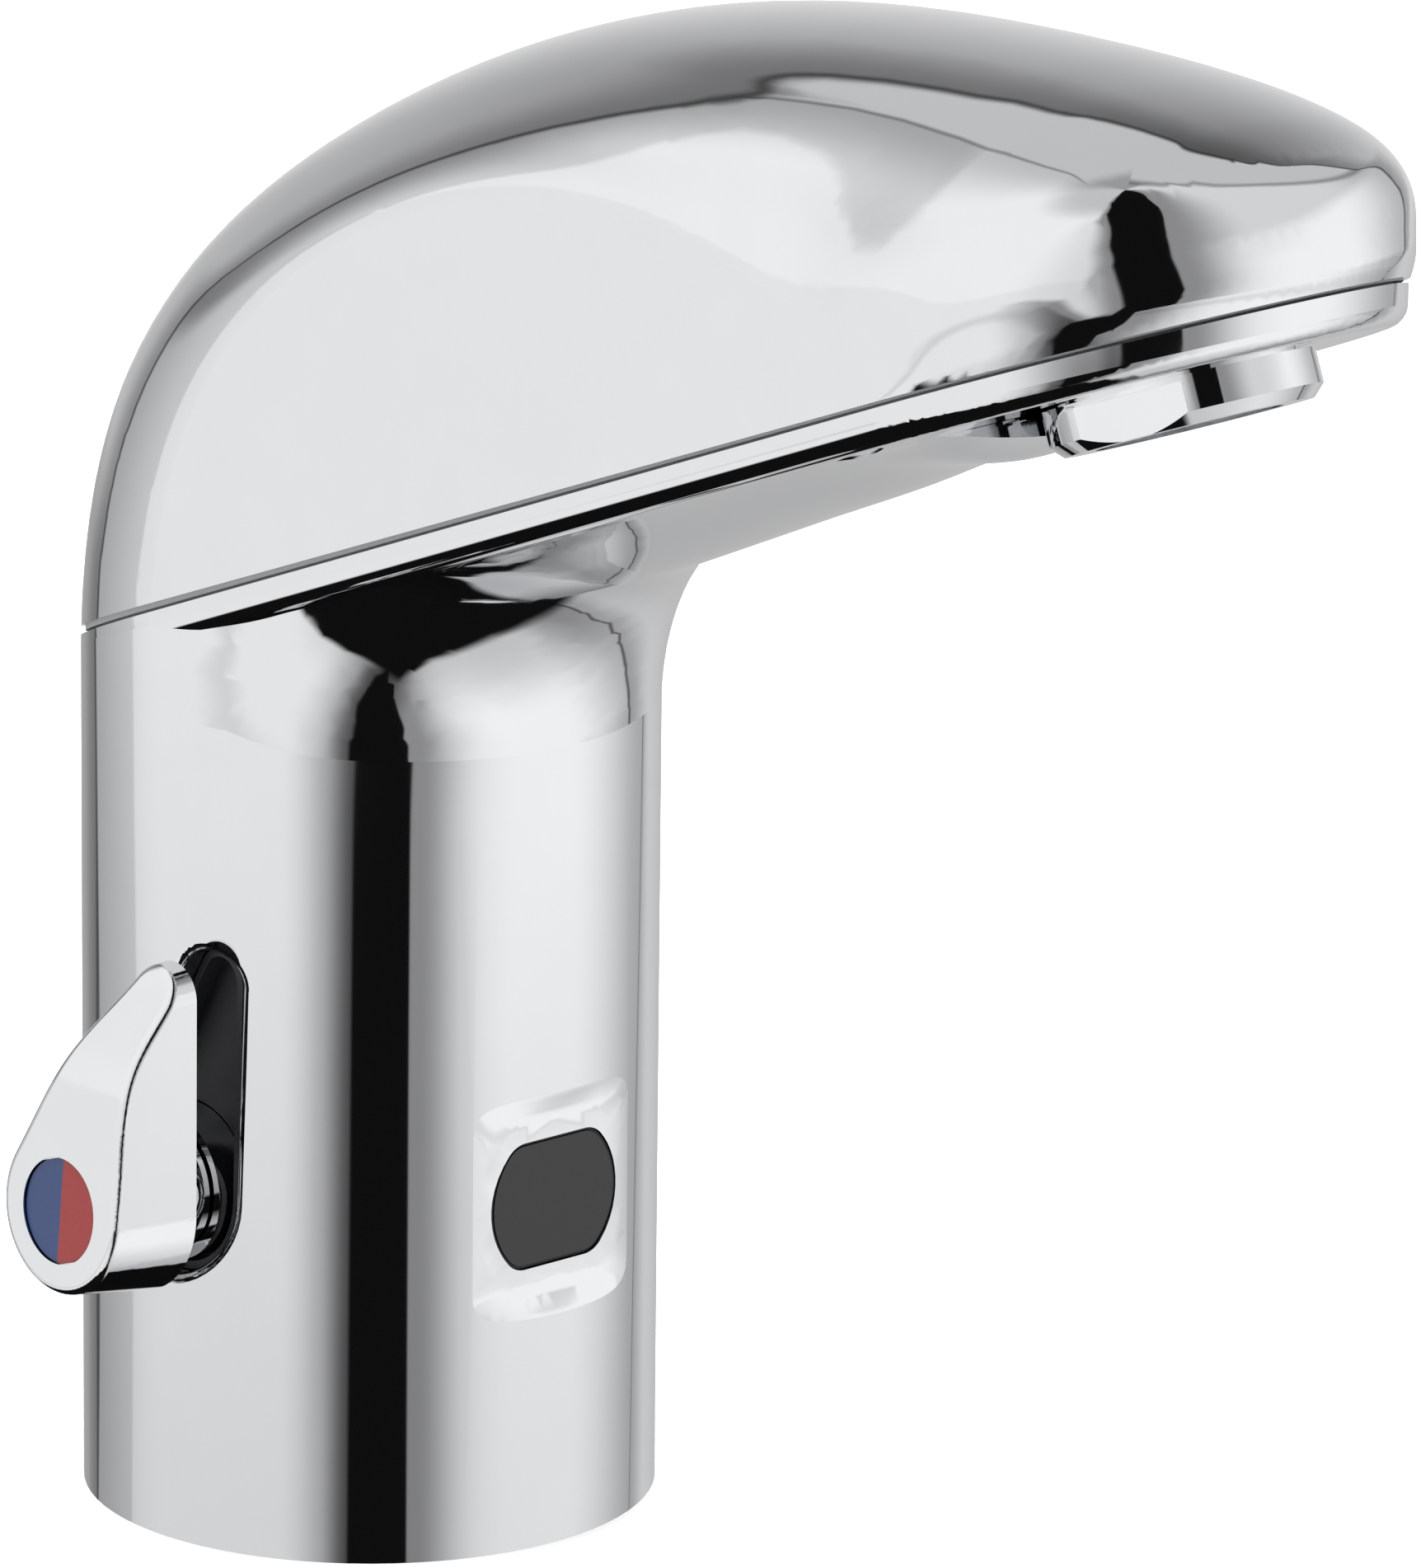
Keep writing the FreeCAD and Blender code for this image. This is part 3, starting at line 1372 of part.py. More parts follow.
floor_above_seam = chassis_above_seam + chassis_thick
box_floor_top = floor_above_seam + box_wall
battery_top = box_floor_top + battery_height
battery_half = battery_width / 2 + slip
battery_front = battery_back + battery_length + 2 * slip + 2 * box_wall


def make_battery_box():
    half = battery_half + box_wall
    box = spout_block(-half, half, battery_back, battery_front, floor_above_seam, battery_top)
    return box.cut(spout_block(-battery_half, battery_half, battery_back + box_wall, battery_front - box_wall,
                               box_floor_top, far / 2))


def make_battery():
    start = battery_back + box_wall + slip
    half = battery_width / 2
    cell = []
    for side in (-1, 1):
        radius = min(half / 2, battery_height / 2) - slip
        rod = Part.makeCylinder(radius, battery_length, V(side * half / 2, -start, box_floor_top + battery_height / 2),
                                V(0, -1, 0))
        cell.append(in_spout(rod))
    web = spout_block(-half / 2, half / 2, start, start + battery_length,
                      box_floor_top, box_floor_top + battery_height - slip)
    return web.fuse(cell)


def make_battery_lid():
    half = battery_half + box_wall
    return spout_block(-half, half, battery_back, battery_front, battery_top, battery_top + box_wall)


def make_control_box():
    wide = control_half_width
    front = control_back + control_length
    box = spout_block(-wide, wide, control_back, front, floor_above_seam, floor_above_seam + control_height)
    return box.cut(spout_block(-wide + box_wall, wide - box_wall, control_back + box_wall, front - box_wall,
                               box_floor_top, far / 2))


def make_control_board():
    """Board on four feet, with its two tallest components."""
    wide = control_half_width - box_wall - free
    back = control_back + box_wall + free
    front = control_back + control_length - box_wall - free
    low = box_floor_top + control_board_lift
    board = spout_block(-wide, wide, back, front, low, low + board_thick)
    for side in (-1, 1):
        for along in (back + foot_in, front - foot_in):
            board = board.fuse(spout_rod(foot_radius, along, side * (wide - foot_in), box_floor_top, low))
    top = low + board_thick
    chip_back = back + chip_place * (front - back)
    chip_front = chip_back + chip_share * (front - back)
    chip = spout_block(-chip_half_width, chip_half_width, chip_back, chip_front, top, top + chip_height)
    cap = spout_rod(capacitor_radius, front - 2 * capacitor_radius, 2 * capacitor_radius, top, top + capacitor_height)
    return board.fuse([chip, cap])


def make_control_lid():
    wide = control_half_width
    low = floor_above_seam + control_height
    return spout_block(-wide, wide, control_back, control_back + control_length, low, low + box_wall)


def make_battery_lead():
    strands = []
    for side in (-1, 1):
        strand = Part.makeCylinder(lead_radius, control_back - battery_front,
                                   V(side * battery_lead_side, -battery_front, box_floor_top + battery_lead_lift),
                                   V(0, -1, 0))
        strands.append(in_spout(strand))
    return Part.makeCompound(strands)


def lead_rise(station, side):
    """Last two corners of a lead: under the chassis, then up to the control box."""
    level = chassis_above_seam - lead_drop
    corner = spout_frame.multVec(V(side, -station, level))
    end = spout_frame.multVec(V(side, -station, floor_above_seam))
    return corner, end


def make_sensor_lead():
    station, side = lead_holes()[0]
    corner, end = lead_rise(station, side)
    level = chassis_above_seam - lead_drop
    forward = sensor_front - sensor_depth / 2
    start = V(side - sensor_lead_shift, -forward, window_height_mid + sensor_height / 2)
    riser = V(start.x, -forward, start.z + sensor_lead_rise)
    shift = V(side, -forward + sensor_lead_back, riser.z + sensor_lead_run)
    along_at_riser = (forward - sensor_lead_back + level * rise_sin) / rise_cos
    top = spout_frame.multVec(V(side, -along_at_riser, level))
    bends = [lead_wide_bend, lead_widest_bend, lead_top_bend, lead_end_bend]
    return rod_along([start, riser, shift, top, corner, end], bends, lead_radius)


def make_valve_lead():
    station, side = lead_holes()[1]
    corner, end = lead_rise(station, side)
    level = chassis_above_seam - lead_drop
    top_z = coil_z + coil_height + shroud_wall
    start = V(valve_side - coil_radius + 2 * lead_radius, valve_back, top_z)
    along = (valve_lead_bend + level * rise_sin) / rise_cos
    bend = spout_frame.multVec(V(side, -along, level))
    riser = V(start.x, start.y, top_z + valve_lead_rise)
    return rod_along([start, riser, bend, corner, end], [lead_start_bend, lead_wide_bend, lead_end_bend], lead_radius)


# ---------------------------------------------------------------- write every node
def all_nodes():
    """Every node's name with its shape."""
    return {
        "body_casting": make_body_casting(),
        "top_cover": make_top_cover(),
        "cover_screw": make_cover_screw(),
        "cover_gasket": make_cover_gasket(),
        "aerator_ring": make_aerator_ring(),
        "outlet_grid": make_outlet_grid(),
        "jet_insert": make_jet_insert(),
        "flow_regulator": make_flow_regulator(),
        "aerator_washer": make_aerator_washer(),
        "sensor_window": make_sensor_window(),
        "window_gasket": make_window_gasket(),
        "sensor_housing": make_sensor_housing(),
        "sensor_board": make_sensor_board(),
        "infrared_emitter": make_diode(-1),
        "infrared_receiver": make_diode(1),
        "sensor_bracket": make_sensor_bracket(),
        "bracket_screws": make_bracket_screws(),
        "slot_liner": make_slot_liner(),
        "cartridge_nut": make_cartridge_nut(),
        "cartridge_sleeve": make_cartridge_sleeve(),
        "fixed_disc": make_fixed_disc(),
        "moving_disc": make_moving_disc(),
        "spindle": make_spindle(),
        "spindle_seal": make_spindle_seal(),
        "spindle_collar": make_spindle_collar(),
        "lever": make_lever(),
        "cold_marker": make_marker(1),
        "hot_marker": make_marker(-1),
        "lever_grub": make_lever_grub(),
        "base_gasket": make_base_gasket(),
        "base_plate": make_base_plate(),
        "base_screws": make_base_screws(),
        "valve_block": make_valve_block(),
        "inlet_strainers": make_strainers(),
        "cold_check_sleeve": make_check_sleeve(1),
        "cold_check_poppet": make_check_poppet(1),
        "cold_check_spring": make_check_spring(1),
        "hot_check_sleeve": make_check_sleeve(-1),
        "hot_check_poppet": make_check_poppet(-1),
        "hot_check_spring": make_check_spring(-1),
        "valve_base": make_valve_base(),
        "diaphragm": make_diaphragm(),
        "valve_bonnet": make_valve_bonnet(),
        "bonnet_screws": make_bonnet_screws(),
        "core_tube": make_core_tube(),
        "plunger": make_plunger(),
        "plunger_spring": make_plunger_spring(),
        "solenoid_coil": make_coil(),
        "coil_shroud": make_coil_shroud(),
        "outlet_pipe": make_outlet_pipe(),
        "pipe_seals": make_pipe_seals(),
        "chassis": make_chassis(),
        "chassis_screws": make_chassis_screws(),
        "battery_box": make_battery_box(),
        "battery": make_battery(),
        "battery_lid": make_battery_lid(),
        "control_box": make_control_box(),
        "control_board": make_control_board(),
        "control_lid": make_control_lid(),
        "internal_leads": Part.makeCompound([make_sensor_lead(), make_valve_lead(), *make_battery_lead().Solids]),
    }


def main():
    os.makedirs("parts", exist_ok=True)
    for name, shape in all_nodes().items():
        solids = shape.Solids
        ok = all(s.isValid() for s in solids)
        box = shape.BoundBox
        print(f"{name:20s} solids {len(solids)} valid {ok} volume {shape.Volume:10.1f} "
              f"x {box.XMin:.1f} {box.XMax:.1f} y {box.YMin:.1f} {box.YMax:.1f} z {box.ZMin:.1f} {box.ZMax:.1f}")
        keep = solids[0] if len(solids) == 1 else Part.makeCompound(solids)
        keep.exportStep(os.path.join("parts", name + ".step"))


main()
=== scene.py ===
"""Looks for an electronic basin tap: chromed shell, aerator, sensor window, lever and the works inside."""

import json
import logging
import math
from dataclasses import dataclass, field
from enum import Enum

import bmesh
import bpy
from mathutils import Matrix, Vector

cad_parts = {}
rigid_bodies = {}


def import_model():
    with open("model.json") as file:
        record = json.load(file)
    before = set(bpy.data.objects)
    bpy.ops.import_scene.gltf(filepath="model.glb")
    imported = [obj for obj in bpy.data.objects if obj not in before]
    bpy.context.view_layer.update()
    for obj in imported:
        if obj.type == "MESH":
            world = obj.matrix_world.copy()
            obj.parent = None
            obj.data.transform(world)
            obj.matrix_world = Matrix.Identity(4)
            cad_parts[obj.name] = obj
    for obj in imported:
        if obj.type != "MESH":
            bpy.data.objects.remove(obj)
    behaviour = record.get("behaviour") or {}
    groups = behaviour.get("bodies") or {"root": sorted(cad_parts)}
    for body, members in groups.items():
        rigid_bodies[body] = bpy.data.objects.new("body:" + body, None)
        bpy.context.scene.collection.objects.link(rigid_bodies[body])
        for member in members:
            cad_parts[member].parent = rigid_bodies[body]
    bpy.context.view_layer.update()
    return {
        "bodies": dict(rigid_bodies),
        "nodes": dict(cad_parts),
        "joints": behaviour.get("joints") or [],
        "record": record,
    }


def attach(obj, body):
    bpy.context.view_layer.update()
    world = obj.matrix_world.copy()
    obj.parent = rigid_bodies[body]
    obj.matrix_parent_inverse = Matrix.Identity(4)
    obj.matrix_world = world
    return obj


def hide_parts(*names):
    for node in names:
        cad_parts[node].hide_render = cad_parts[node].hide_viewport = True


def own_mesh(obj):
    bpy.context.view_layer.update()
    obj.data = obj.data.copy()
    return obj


log = logging.getLogger("tap")

MM = 0.001
TAU = 2 * math.pi
CLOUD_MM = 22.0  # how far apart a surface's duller patches lie
QUARTER_DEG = 90.0  # angles up to this either way become 0 to 1 in a curve
MATH = "ShaderNodeMath"
RANGE = "ShaderNodeMapRange"
MIX = "ShaderNodeMix"
CURVE = "ShaderNodeFloatCurve"
NOISE = "ShaderNodeTexNoise"


def linear(hex_colour: str) -> tuple[float, float, float, float]:
    """Turn an sRGB hex colour into linear light.

    Args:
        hex_colour: Six hex digits, such as "c0c4c8".

    Returns:
        Linear red, green and blue, with an alpha of 1.
    """
    parts = [int(hex_colour[i : i + 2], 16) / 255 for i in (0, 2, 4)]
    bright = [c / 12.92 if c <= 0.04045 else ((c + 0.055) / 1.055) ** 2.4 for c in parts]
    return (bright[0], bright[1], bright[2], 1.0)


def node(tree: bpy.types.NodeTree, kind: str, settings: dict | None = None,
         links: dict | None = None) -> bpy.types.Node:
    """Add one shader node.

    Args:
        tree: The node tree it goes into.
        kind: Blender's name for the node type.
        settings: Values by socket name, or by attribute name where the node has that attribute.
        links: Output sockets by the name of the input they feed.

    Returns:
        The new node.
    """
    made = tree.nodes.new(kind)
    for name, value in (settings or {}).items():
        if isinstance(name, int) or name in made.inputs:
            made.inputs[name].default_value = value
        else:
            setattr(made, name, value)
    for name, source in (links or {}).items():
        tree.links.new(source, made.inputs[name])
    return made


class Grain(Enum):
    """How a surface was made, which decides its fine pattern."""

    POLISHED = "polished"
    TURNED = "turned"
    BRUSHED = "brushed"
    MOULDED = "moulded"
    WOUND = "wound"
    LAPPED = "lapped"
    PRINTED = "printed"


@dataclass(frozen=True)
class Finish:
    """One real material with its surface.

    Attributes:
        name: What the material is called in the file.
        colour: sRGB hex of the main colour.
        second: sRGB hex of the colour it varies towards.
        metallic: 1 for bare or plated metal, 0 otherwise.
        roughness: The middle of the gloss range.
        spread: How far the roughness wanders either side.
        ior: Refractive index of a dielectric; unused on metal.
        grain: How the surface was made.
        grain_mm: Real spacing of its fine pattern, in millimetres.
        bump: Height of that pattern, in millimetres.
        coat: Strength of a clear layer on top.
    """

    name: str
    colour: str
    second: str
    metallic: float = 0.0
    roughness: float = 0.4
    spread: float = 0.05
    ior: float = 1.5
    grain: Grain = Grain.MOULDED
    grain_mm: float = 0.4
    bump: float = 0.01
    coat: float = 0.0

    def pattern(self, tree: bpy.types.NodeTree) -> bpy.types.NodeSocket:
        """Draw the surface's fine pattern.

        Args:
            tree: The material's node tree.

        Returns:
            A socket from 0 to 1 that follows the pattern.
        """
        place = node(tree, "ShaderNodeTexCoord").outputs["Object"]
        scale = 1 / (self.grain_mm * MM)
        if self.grain in (Grain.TURNED, Grain.WOUND):
            wave = {"wave_type": "BANDS", "bands_direction": "Z", "Scale": scale / TAU,
                    "Distortion": 0.6, "Detail": 1.0, "Detail Scale": 2.0}
            return node(tree, "ShaderNodeTexWave", wave, {"Vector": place}).outputs["Fac"]
        if self.grain is Grain.BRUSHED:
            stretch = {"Scale": (1.0, 1.0, 0.06)}
            drawn = node(tree, "ShaderNodeMapping", stretch, {"Vector": place}).outputs["Vector"]
            noise = {"Scale": scale, "Detail": 4.0, "Roughness": 0.6}
            return node(tree, NOISE, noise, {"Vector": drawn}).outputs["Fac"]
        if self.grain is Grain.PRINTED:
            cells = {"feature": "DISTANCE_TO_EDGE", "Scale": scale, "Randomness": 0.8}
            edge = node(tree, "ShaderNodeTexVoronoi", cells, {"Vector": place}).outputs["Distance"]
            track = {"operation": "GREATER_THAN", 1: 0.09}
            return node(tree, MATH, track, {0: edge}).outputs["Value"]
        noise = {"Scale": scale, "Detail": 3.0, "Roughness": 0.55}
        return node(tree, NOISE, noise, {"Vector": place}).outputs["Fac"]

    def material(self) -> bpy.types.Material:
        """Build the material once and hand the same one out afterwards."""
        made = bpy.data.materials.get(self.name)
        if made is not None:
            return made
        made = bpy.data.materials.new(self.name)
        made.use_nodes = True
        tree = made.node_tree
        tree.nodes.clear()
        pattern = self.pattern(tree)
        place = node(tree, "ShaderNodeTexCoord").outputs["Object"]
        clouds = {"Scale": 1 / (CLOUD_MM * MM), "Detail": 3.0}
        cloud = node(tree, NOISE, clouds, {"Vector": place}).outputs["Fac"]
        gloss = {"To Min": max(self.roughness - self.spread, 0.0), "To Max": self.roughness + self.spread}
        rough = node(tree, RANGE, gloss, {"Value": cloud}).outputs["Result"]
        colours = {"data_type": "RGBA", 6: linear(self.colour), 7: linear(self.second)}
        tint = node(tree, MIX, colours, {0: pattern}).outputs[2]
        height = {"Distance": self.bump * MM, "Strength": 1.0}
        bump = node(tree, "ShaderNodeBump", height, {"Height": pattern}).outputs["Normal"]
        settings = {"Metallic": self.metallic, "Coat Weight": self.coat, "Coat Roughness": 0.06}
        if not self.metallic:
            settings["IOR"] = self.ior
        shader = node(tree, "ShaderNodeBsdfPrincipled", settings,
                      {"Base Color": tint, "Roughness": rough, "Normal": bump})
        node(tree, "ShaderNodeOutputMaterial", {}, {"Surface": shader.outputs["BSDF"]})
        return made


# Bright decorative chrome over nickel: a cool near-white mirror, with only a breath of haze.
CHROME = Finish("polished_chrome_plate", "d6d7d9", "dadbdc", 1.0, 0.035, 0.012,
                grain=Grain.POLISHED, grain_mm=9.0, bump=0.0006)
# Machined brass: warm yellow, with fine turning rings that soften the highlight.
BRASS = Finish("machined_brass", "c9a85c", "b8944a", 1.0, 0.26, 0.06,
               grain=Grain.TURNED, grain_mm=0.25, bump=0.002)
# Stainless steel, as drawn: grey metal with long faint streaks.
STEEL = Finish("drawn_stainless_steel", "b4b5b6", "a2a3a5", 1.0, 0.30, 0.06,
               grain=Grain.BRUSHED, grain_mm=0.5, bump=0.0015)
# Copper tube, drawn and slightly tarnished: pink-brown metal, cloudy gloss.
COPPER = Finish("drawn_copper", "c07c5c", "a8664a", 1.0, 0.28, 0.10,
                grain=Grain.BRUSHED, grain_mm=0.8, bump=0.002)
# Enamelled copper wire in tight turns: dark orange with a lacquer gloss.
WINDING = Finish("enamelled_copper_winding", "8a3f14", "5c2409", 0.0, 0.25, 0.05, 1.55,
                 Grain.WOUND, 0.3, 0.06, 0.5)
# EPDM seals, moulded: near-black, dull, faintly dusty.
BLACK_RUBBER = Finish("moulded_epdm_black", "17171a", "222226", 0.0, 0.72, 0.08, 1.52,
                      Grain.MOULDED, 0.3, 0.01)
# EPDM sealing strip, extruded in mid-grey: dull line between two bright parts.
GREY_RUBBER = Finish("extruded_epdm_grey", "8e9092", "808284", 0.0, 0.62, 0.06, 1.52,
                     Grain.MOULDED, 0.3, 0.01)
# Glass-filled nylon, moulded: black with a fine satin orange-peel.
NYLON = Finish("moulded_nylon_black", "1c1d1f", "25262a", 0.0, 0.48, 0.06, 1.53, Grain.MOULDED, 0.35, 0.012)
# Acetal, moulded in grey: smooth and slightly waxy.
GREY_ACETAL = Finish("moulded_acetal_grey", "84878a", "7a7d80", 0.0, 0.36, 0.05, 1.48,
                     Grain.MOULDED, 0.5, 0.008)
# Acetal, moulded in white: smooth and slightly waxy.
WHITE_ACETAL = Finish("moulded_acetal_white", "e6e5df", "dcdbd4", 0.0, 0.34, 0.05, 1.48,
                      Grain.MOULDED, 0.5, 0.008)
# Infrared-clear polycarbonate: a smoked, glossy dark grey.
SMOKED = Finish("smoked_polycarbonate", "121214", "161618", 0.0, 0.16, 0.03, 1.49, Grain.MOULDED, 1.2, 0.001)
# Epoxy, cast clear round a diode: pale and glossy.
EPOXY = Finish("cast_clear_epoxy", "c4c9d2", "b6bcc6", 0.0, 0.08, 0.02, 1.55, Grain.MOULDED, 1.0, 0.002, 0.4)
# Glass-epoxy board with green solder mask: copper tracks stand out a little through the gloss.
BOARD = Finish("green_solder_mask", "1c5a30", "2f7a45", 0.0, 0.28, 0.05, 1.55, Grain.PRINTED, 2.2, 0.03)
# Alumina discs, lapped flat: dense off-white with a sheen.
ALUMINA = Finish("lapped_alumina", "e9e6df", "dedad2", 0.0, 0.16, 0.04, 1.76, Grain.LAPPED, 0.25, 0.001)
# ABS inlays, moulded in deep blue and muted red.
BLUE_ABS = Finish("moulded_abs_blue", "16305c", "122850", 0.0, 0.30, 0.04, 1.54, Grain.MOULDED, 0.4, 0.004)
RED_ABS = Finish("moulded_abs_red", "7d1414", "701111", 0.0, 0.30, 0.04, 1.54, Grain.MOULDED, 0.4, 0.004)
# PVC sleeve shrunk over the battery: smooth slate with a soft gloss.
SHRINK_WRAP = Finish("shrunk_pvc_slate", "48515b", "3f4851", 0.0, 0.30, 0.05, 1.54, Grain.MOULDED, 2.5, 0.03)
# PVC insulation on the leads, extruded: black with a soft gloss.
WIRE_PVC = Finish("extruded_pvc_black", "1a1a1c", "232326", 0.0, 0.42, 0.05, 1.54, Grain.MOULDED, 0.6, 0.01)


@dataclass
class Assembly:
    """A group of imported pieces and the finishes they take.

    Attributes:
        finishes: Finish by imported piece.
    """

    frame: dict
    finishes: dict[str, Finish] = field(default_factory=dict)

    def dress(self) -> None:
        """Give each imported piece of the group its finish."""
        for name, finish in self.finishes.items():
            obj = self.frame["nodes"][name]
            made = finish.material()
            for slot in obj.material_slots:
                slot.material = made
            if not obj.material_slots:
                obj.data.materials.append(made)
            log.info("dressed %s in %s", name, finish.name)


@dataclass
class Shell(Assembly):
    """The chromed column with its spout tray, and the cover over it."""

    finishes: dict[str, Finish] = field(default_factory=lambda: {
        "body_casting": CHROME, "top_cover": CHROME, "cover_screw": STEEL, "cover_gasket": GREY_RUBBER})


@dataclass
class Aerator(Assembly):
    """The outlet under the nose."""

    finishes: dict[str, Finish] = field(default_factory=lambda: {
        "aerator_ring": CHROME, "outlet_grid": GREY_ACETAL, "jet_insert": GREY_ACETAL,
        "flow_regulator": GREY_ACETAL, "aerator_washer": BLACK_RUBBER})


@dataclass
class SensorUnit(Assembly):
    """The window in the column and the eye behind it."""

    finishes: dict[str, Finish] = field(default_factory=lambda: {
        "sensor_window": SMOKED, "window_gasket": BLACK_RUBBER, "sensor_housing": NYLON,
        "sensor_board": BOARD, "infrared_emitter": EPOXY, "infrared_receiver": SMOKED,
        "sensor_bracket": STEEL, "bracket_screws": STEEL})


@dataclass
class TemperatureLever(Assembly):
    """The side lever and the mixing cartridge it turns."""

    finishes: dict[str, Finish] = field(default_factory=lambda: {
        "lever": CHROME, "cold_marker": BLUE_ABS, "hot_marker": RED_ABS, "lever_grub": STEEL,
        "slot_liner": NYLON, "cartridge_nut": BRASS, "cartridge_sleeve": GREY_ACETAL, "fixed_disc": ALUMINA,
        "moving_disc": ALUMINA, "spindle": BRASS, "spindle_seal": BLACK_RUBBER, "spindle_collar": CHROME})


@dataclass
class Waterways(Assembly):
    """Base, ports, check valves and the pipe to the outlet."""

    finishes: dict[str, Finish] = field(default_factory=lambda: {
        "base_gasket": BLACK_RUBBER, "base_plate": BRASS, "base_screws": STEEL, "valve_block": BRASS,
        "inlet_strainers": STEEL, "cold_check_sleeve": WHITE_ACETAL, "cold_check_poppet": WHITE_ACETAL,
        "cold_check_spring": STEEL, "hot_check_sleeve": WHITE_ACETAL, "hot_check_poppet": WHITE_ACETAL,
        "hot_check_spring": STEEL, "outlet_pipe": COPPER, "pipe_seals": BLACK_RUBBER})


@dataclass
class SolenoidValve(Assembly):
    """The electric valve over the mixing block."""

    finishes: dict[str, Finish] = field(default_factory=lambda: {
        "valve_base": BRASS, "diaphragm": BLACK_RUBBER, "valve_bonnet": NYLON, "bonnet_screws": STEEL,
        "core_tube": STEEL, "plunger": STEEL, "plunger_spring": STEEL, "solenoid_coil": WINDING,
        "coil_shroud": NYLON})


@dataclass
class Electronics(Assembly):
    """Battery, control board and leads in the spout."""

    finishes: dict[str, Finish] = field(default_factory=lambda: {
        "chassis": GREY_ACETAL, "chassis_screws": STEEL, "battery_box": NYLON, "battery": SHRINK_WRAP,
        "battery_lid": NYLON, "control_box": WHITE_ACETAL, "control_board": BOARD,
        "control_lid": WHITE_ACETAL, "internal_leads": WIRE_PVC})


@dataclass
class Springs:
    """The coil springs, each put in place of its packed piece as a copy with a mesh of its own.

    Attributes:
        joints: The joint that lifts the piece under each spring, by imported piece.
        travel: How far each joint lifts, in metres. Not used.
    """

    frame: dict
    joints: dict[str, str] = field(default_factory=lambda: {
        "plunger_spring": "plunger_lift", "cold_check_spring": "cold_poppet_lift",
        "hot_check_spring": "hot_poppet_lift"})
    travel: float = 2.0 * MM

    def stand_in(self) -> None:
        """Put a copy of each packed spring in its place, with a mesh of its own."""
        for name, joint in self.joints.items():
            coil = bpy.data.objects.new(name + "_coil", self.frame["nodes"][name].data.copy())
            bpy.context.scene.collection.objects.link(coil)
            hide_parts(name)
            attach(coil, "tap")
            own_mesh(coil)
            log.info("%s shortens with %s", coil.name, joint)


def shown(grey: int) -> float:
    """Find how bright the surroundings must be for the chrome to show a grey.

    Args:
        grey: The sRGB grey wanted, 0 to 255.

    Returns:
        The brightness, where 1 is a white card in full light.
    """
    return linear(f"{grey:02x}" * 3)[0] / linear(CHROME.colour)[0]


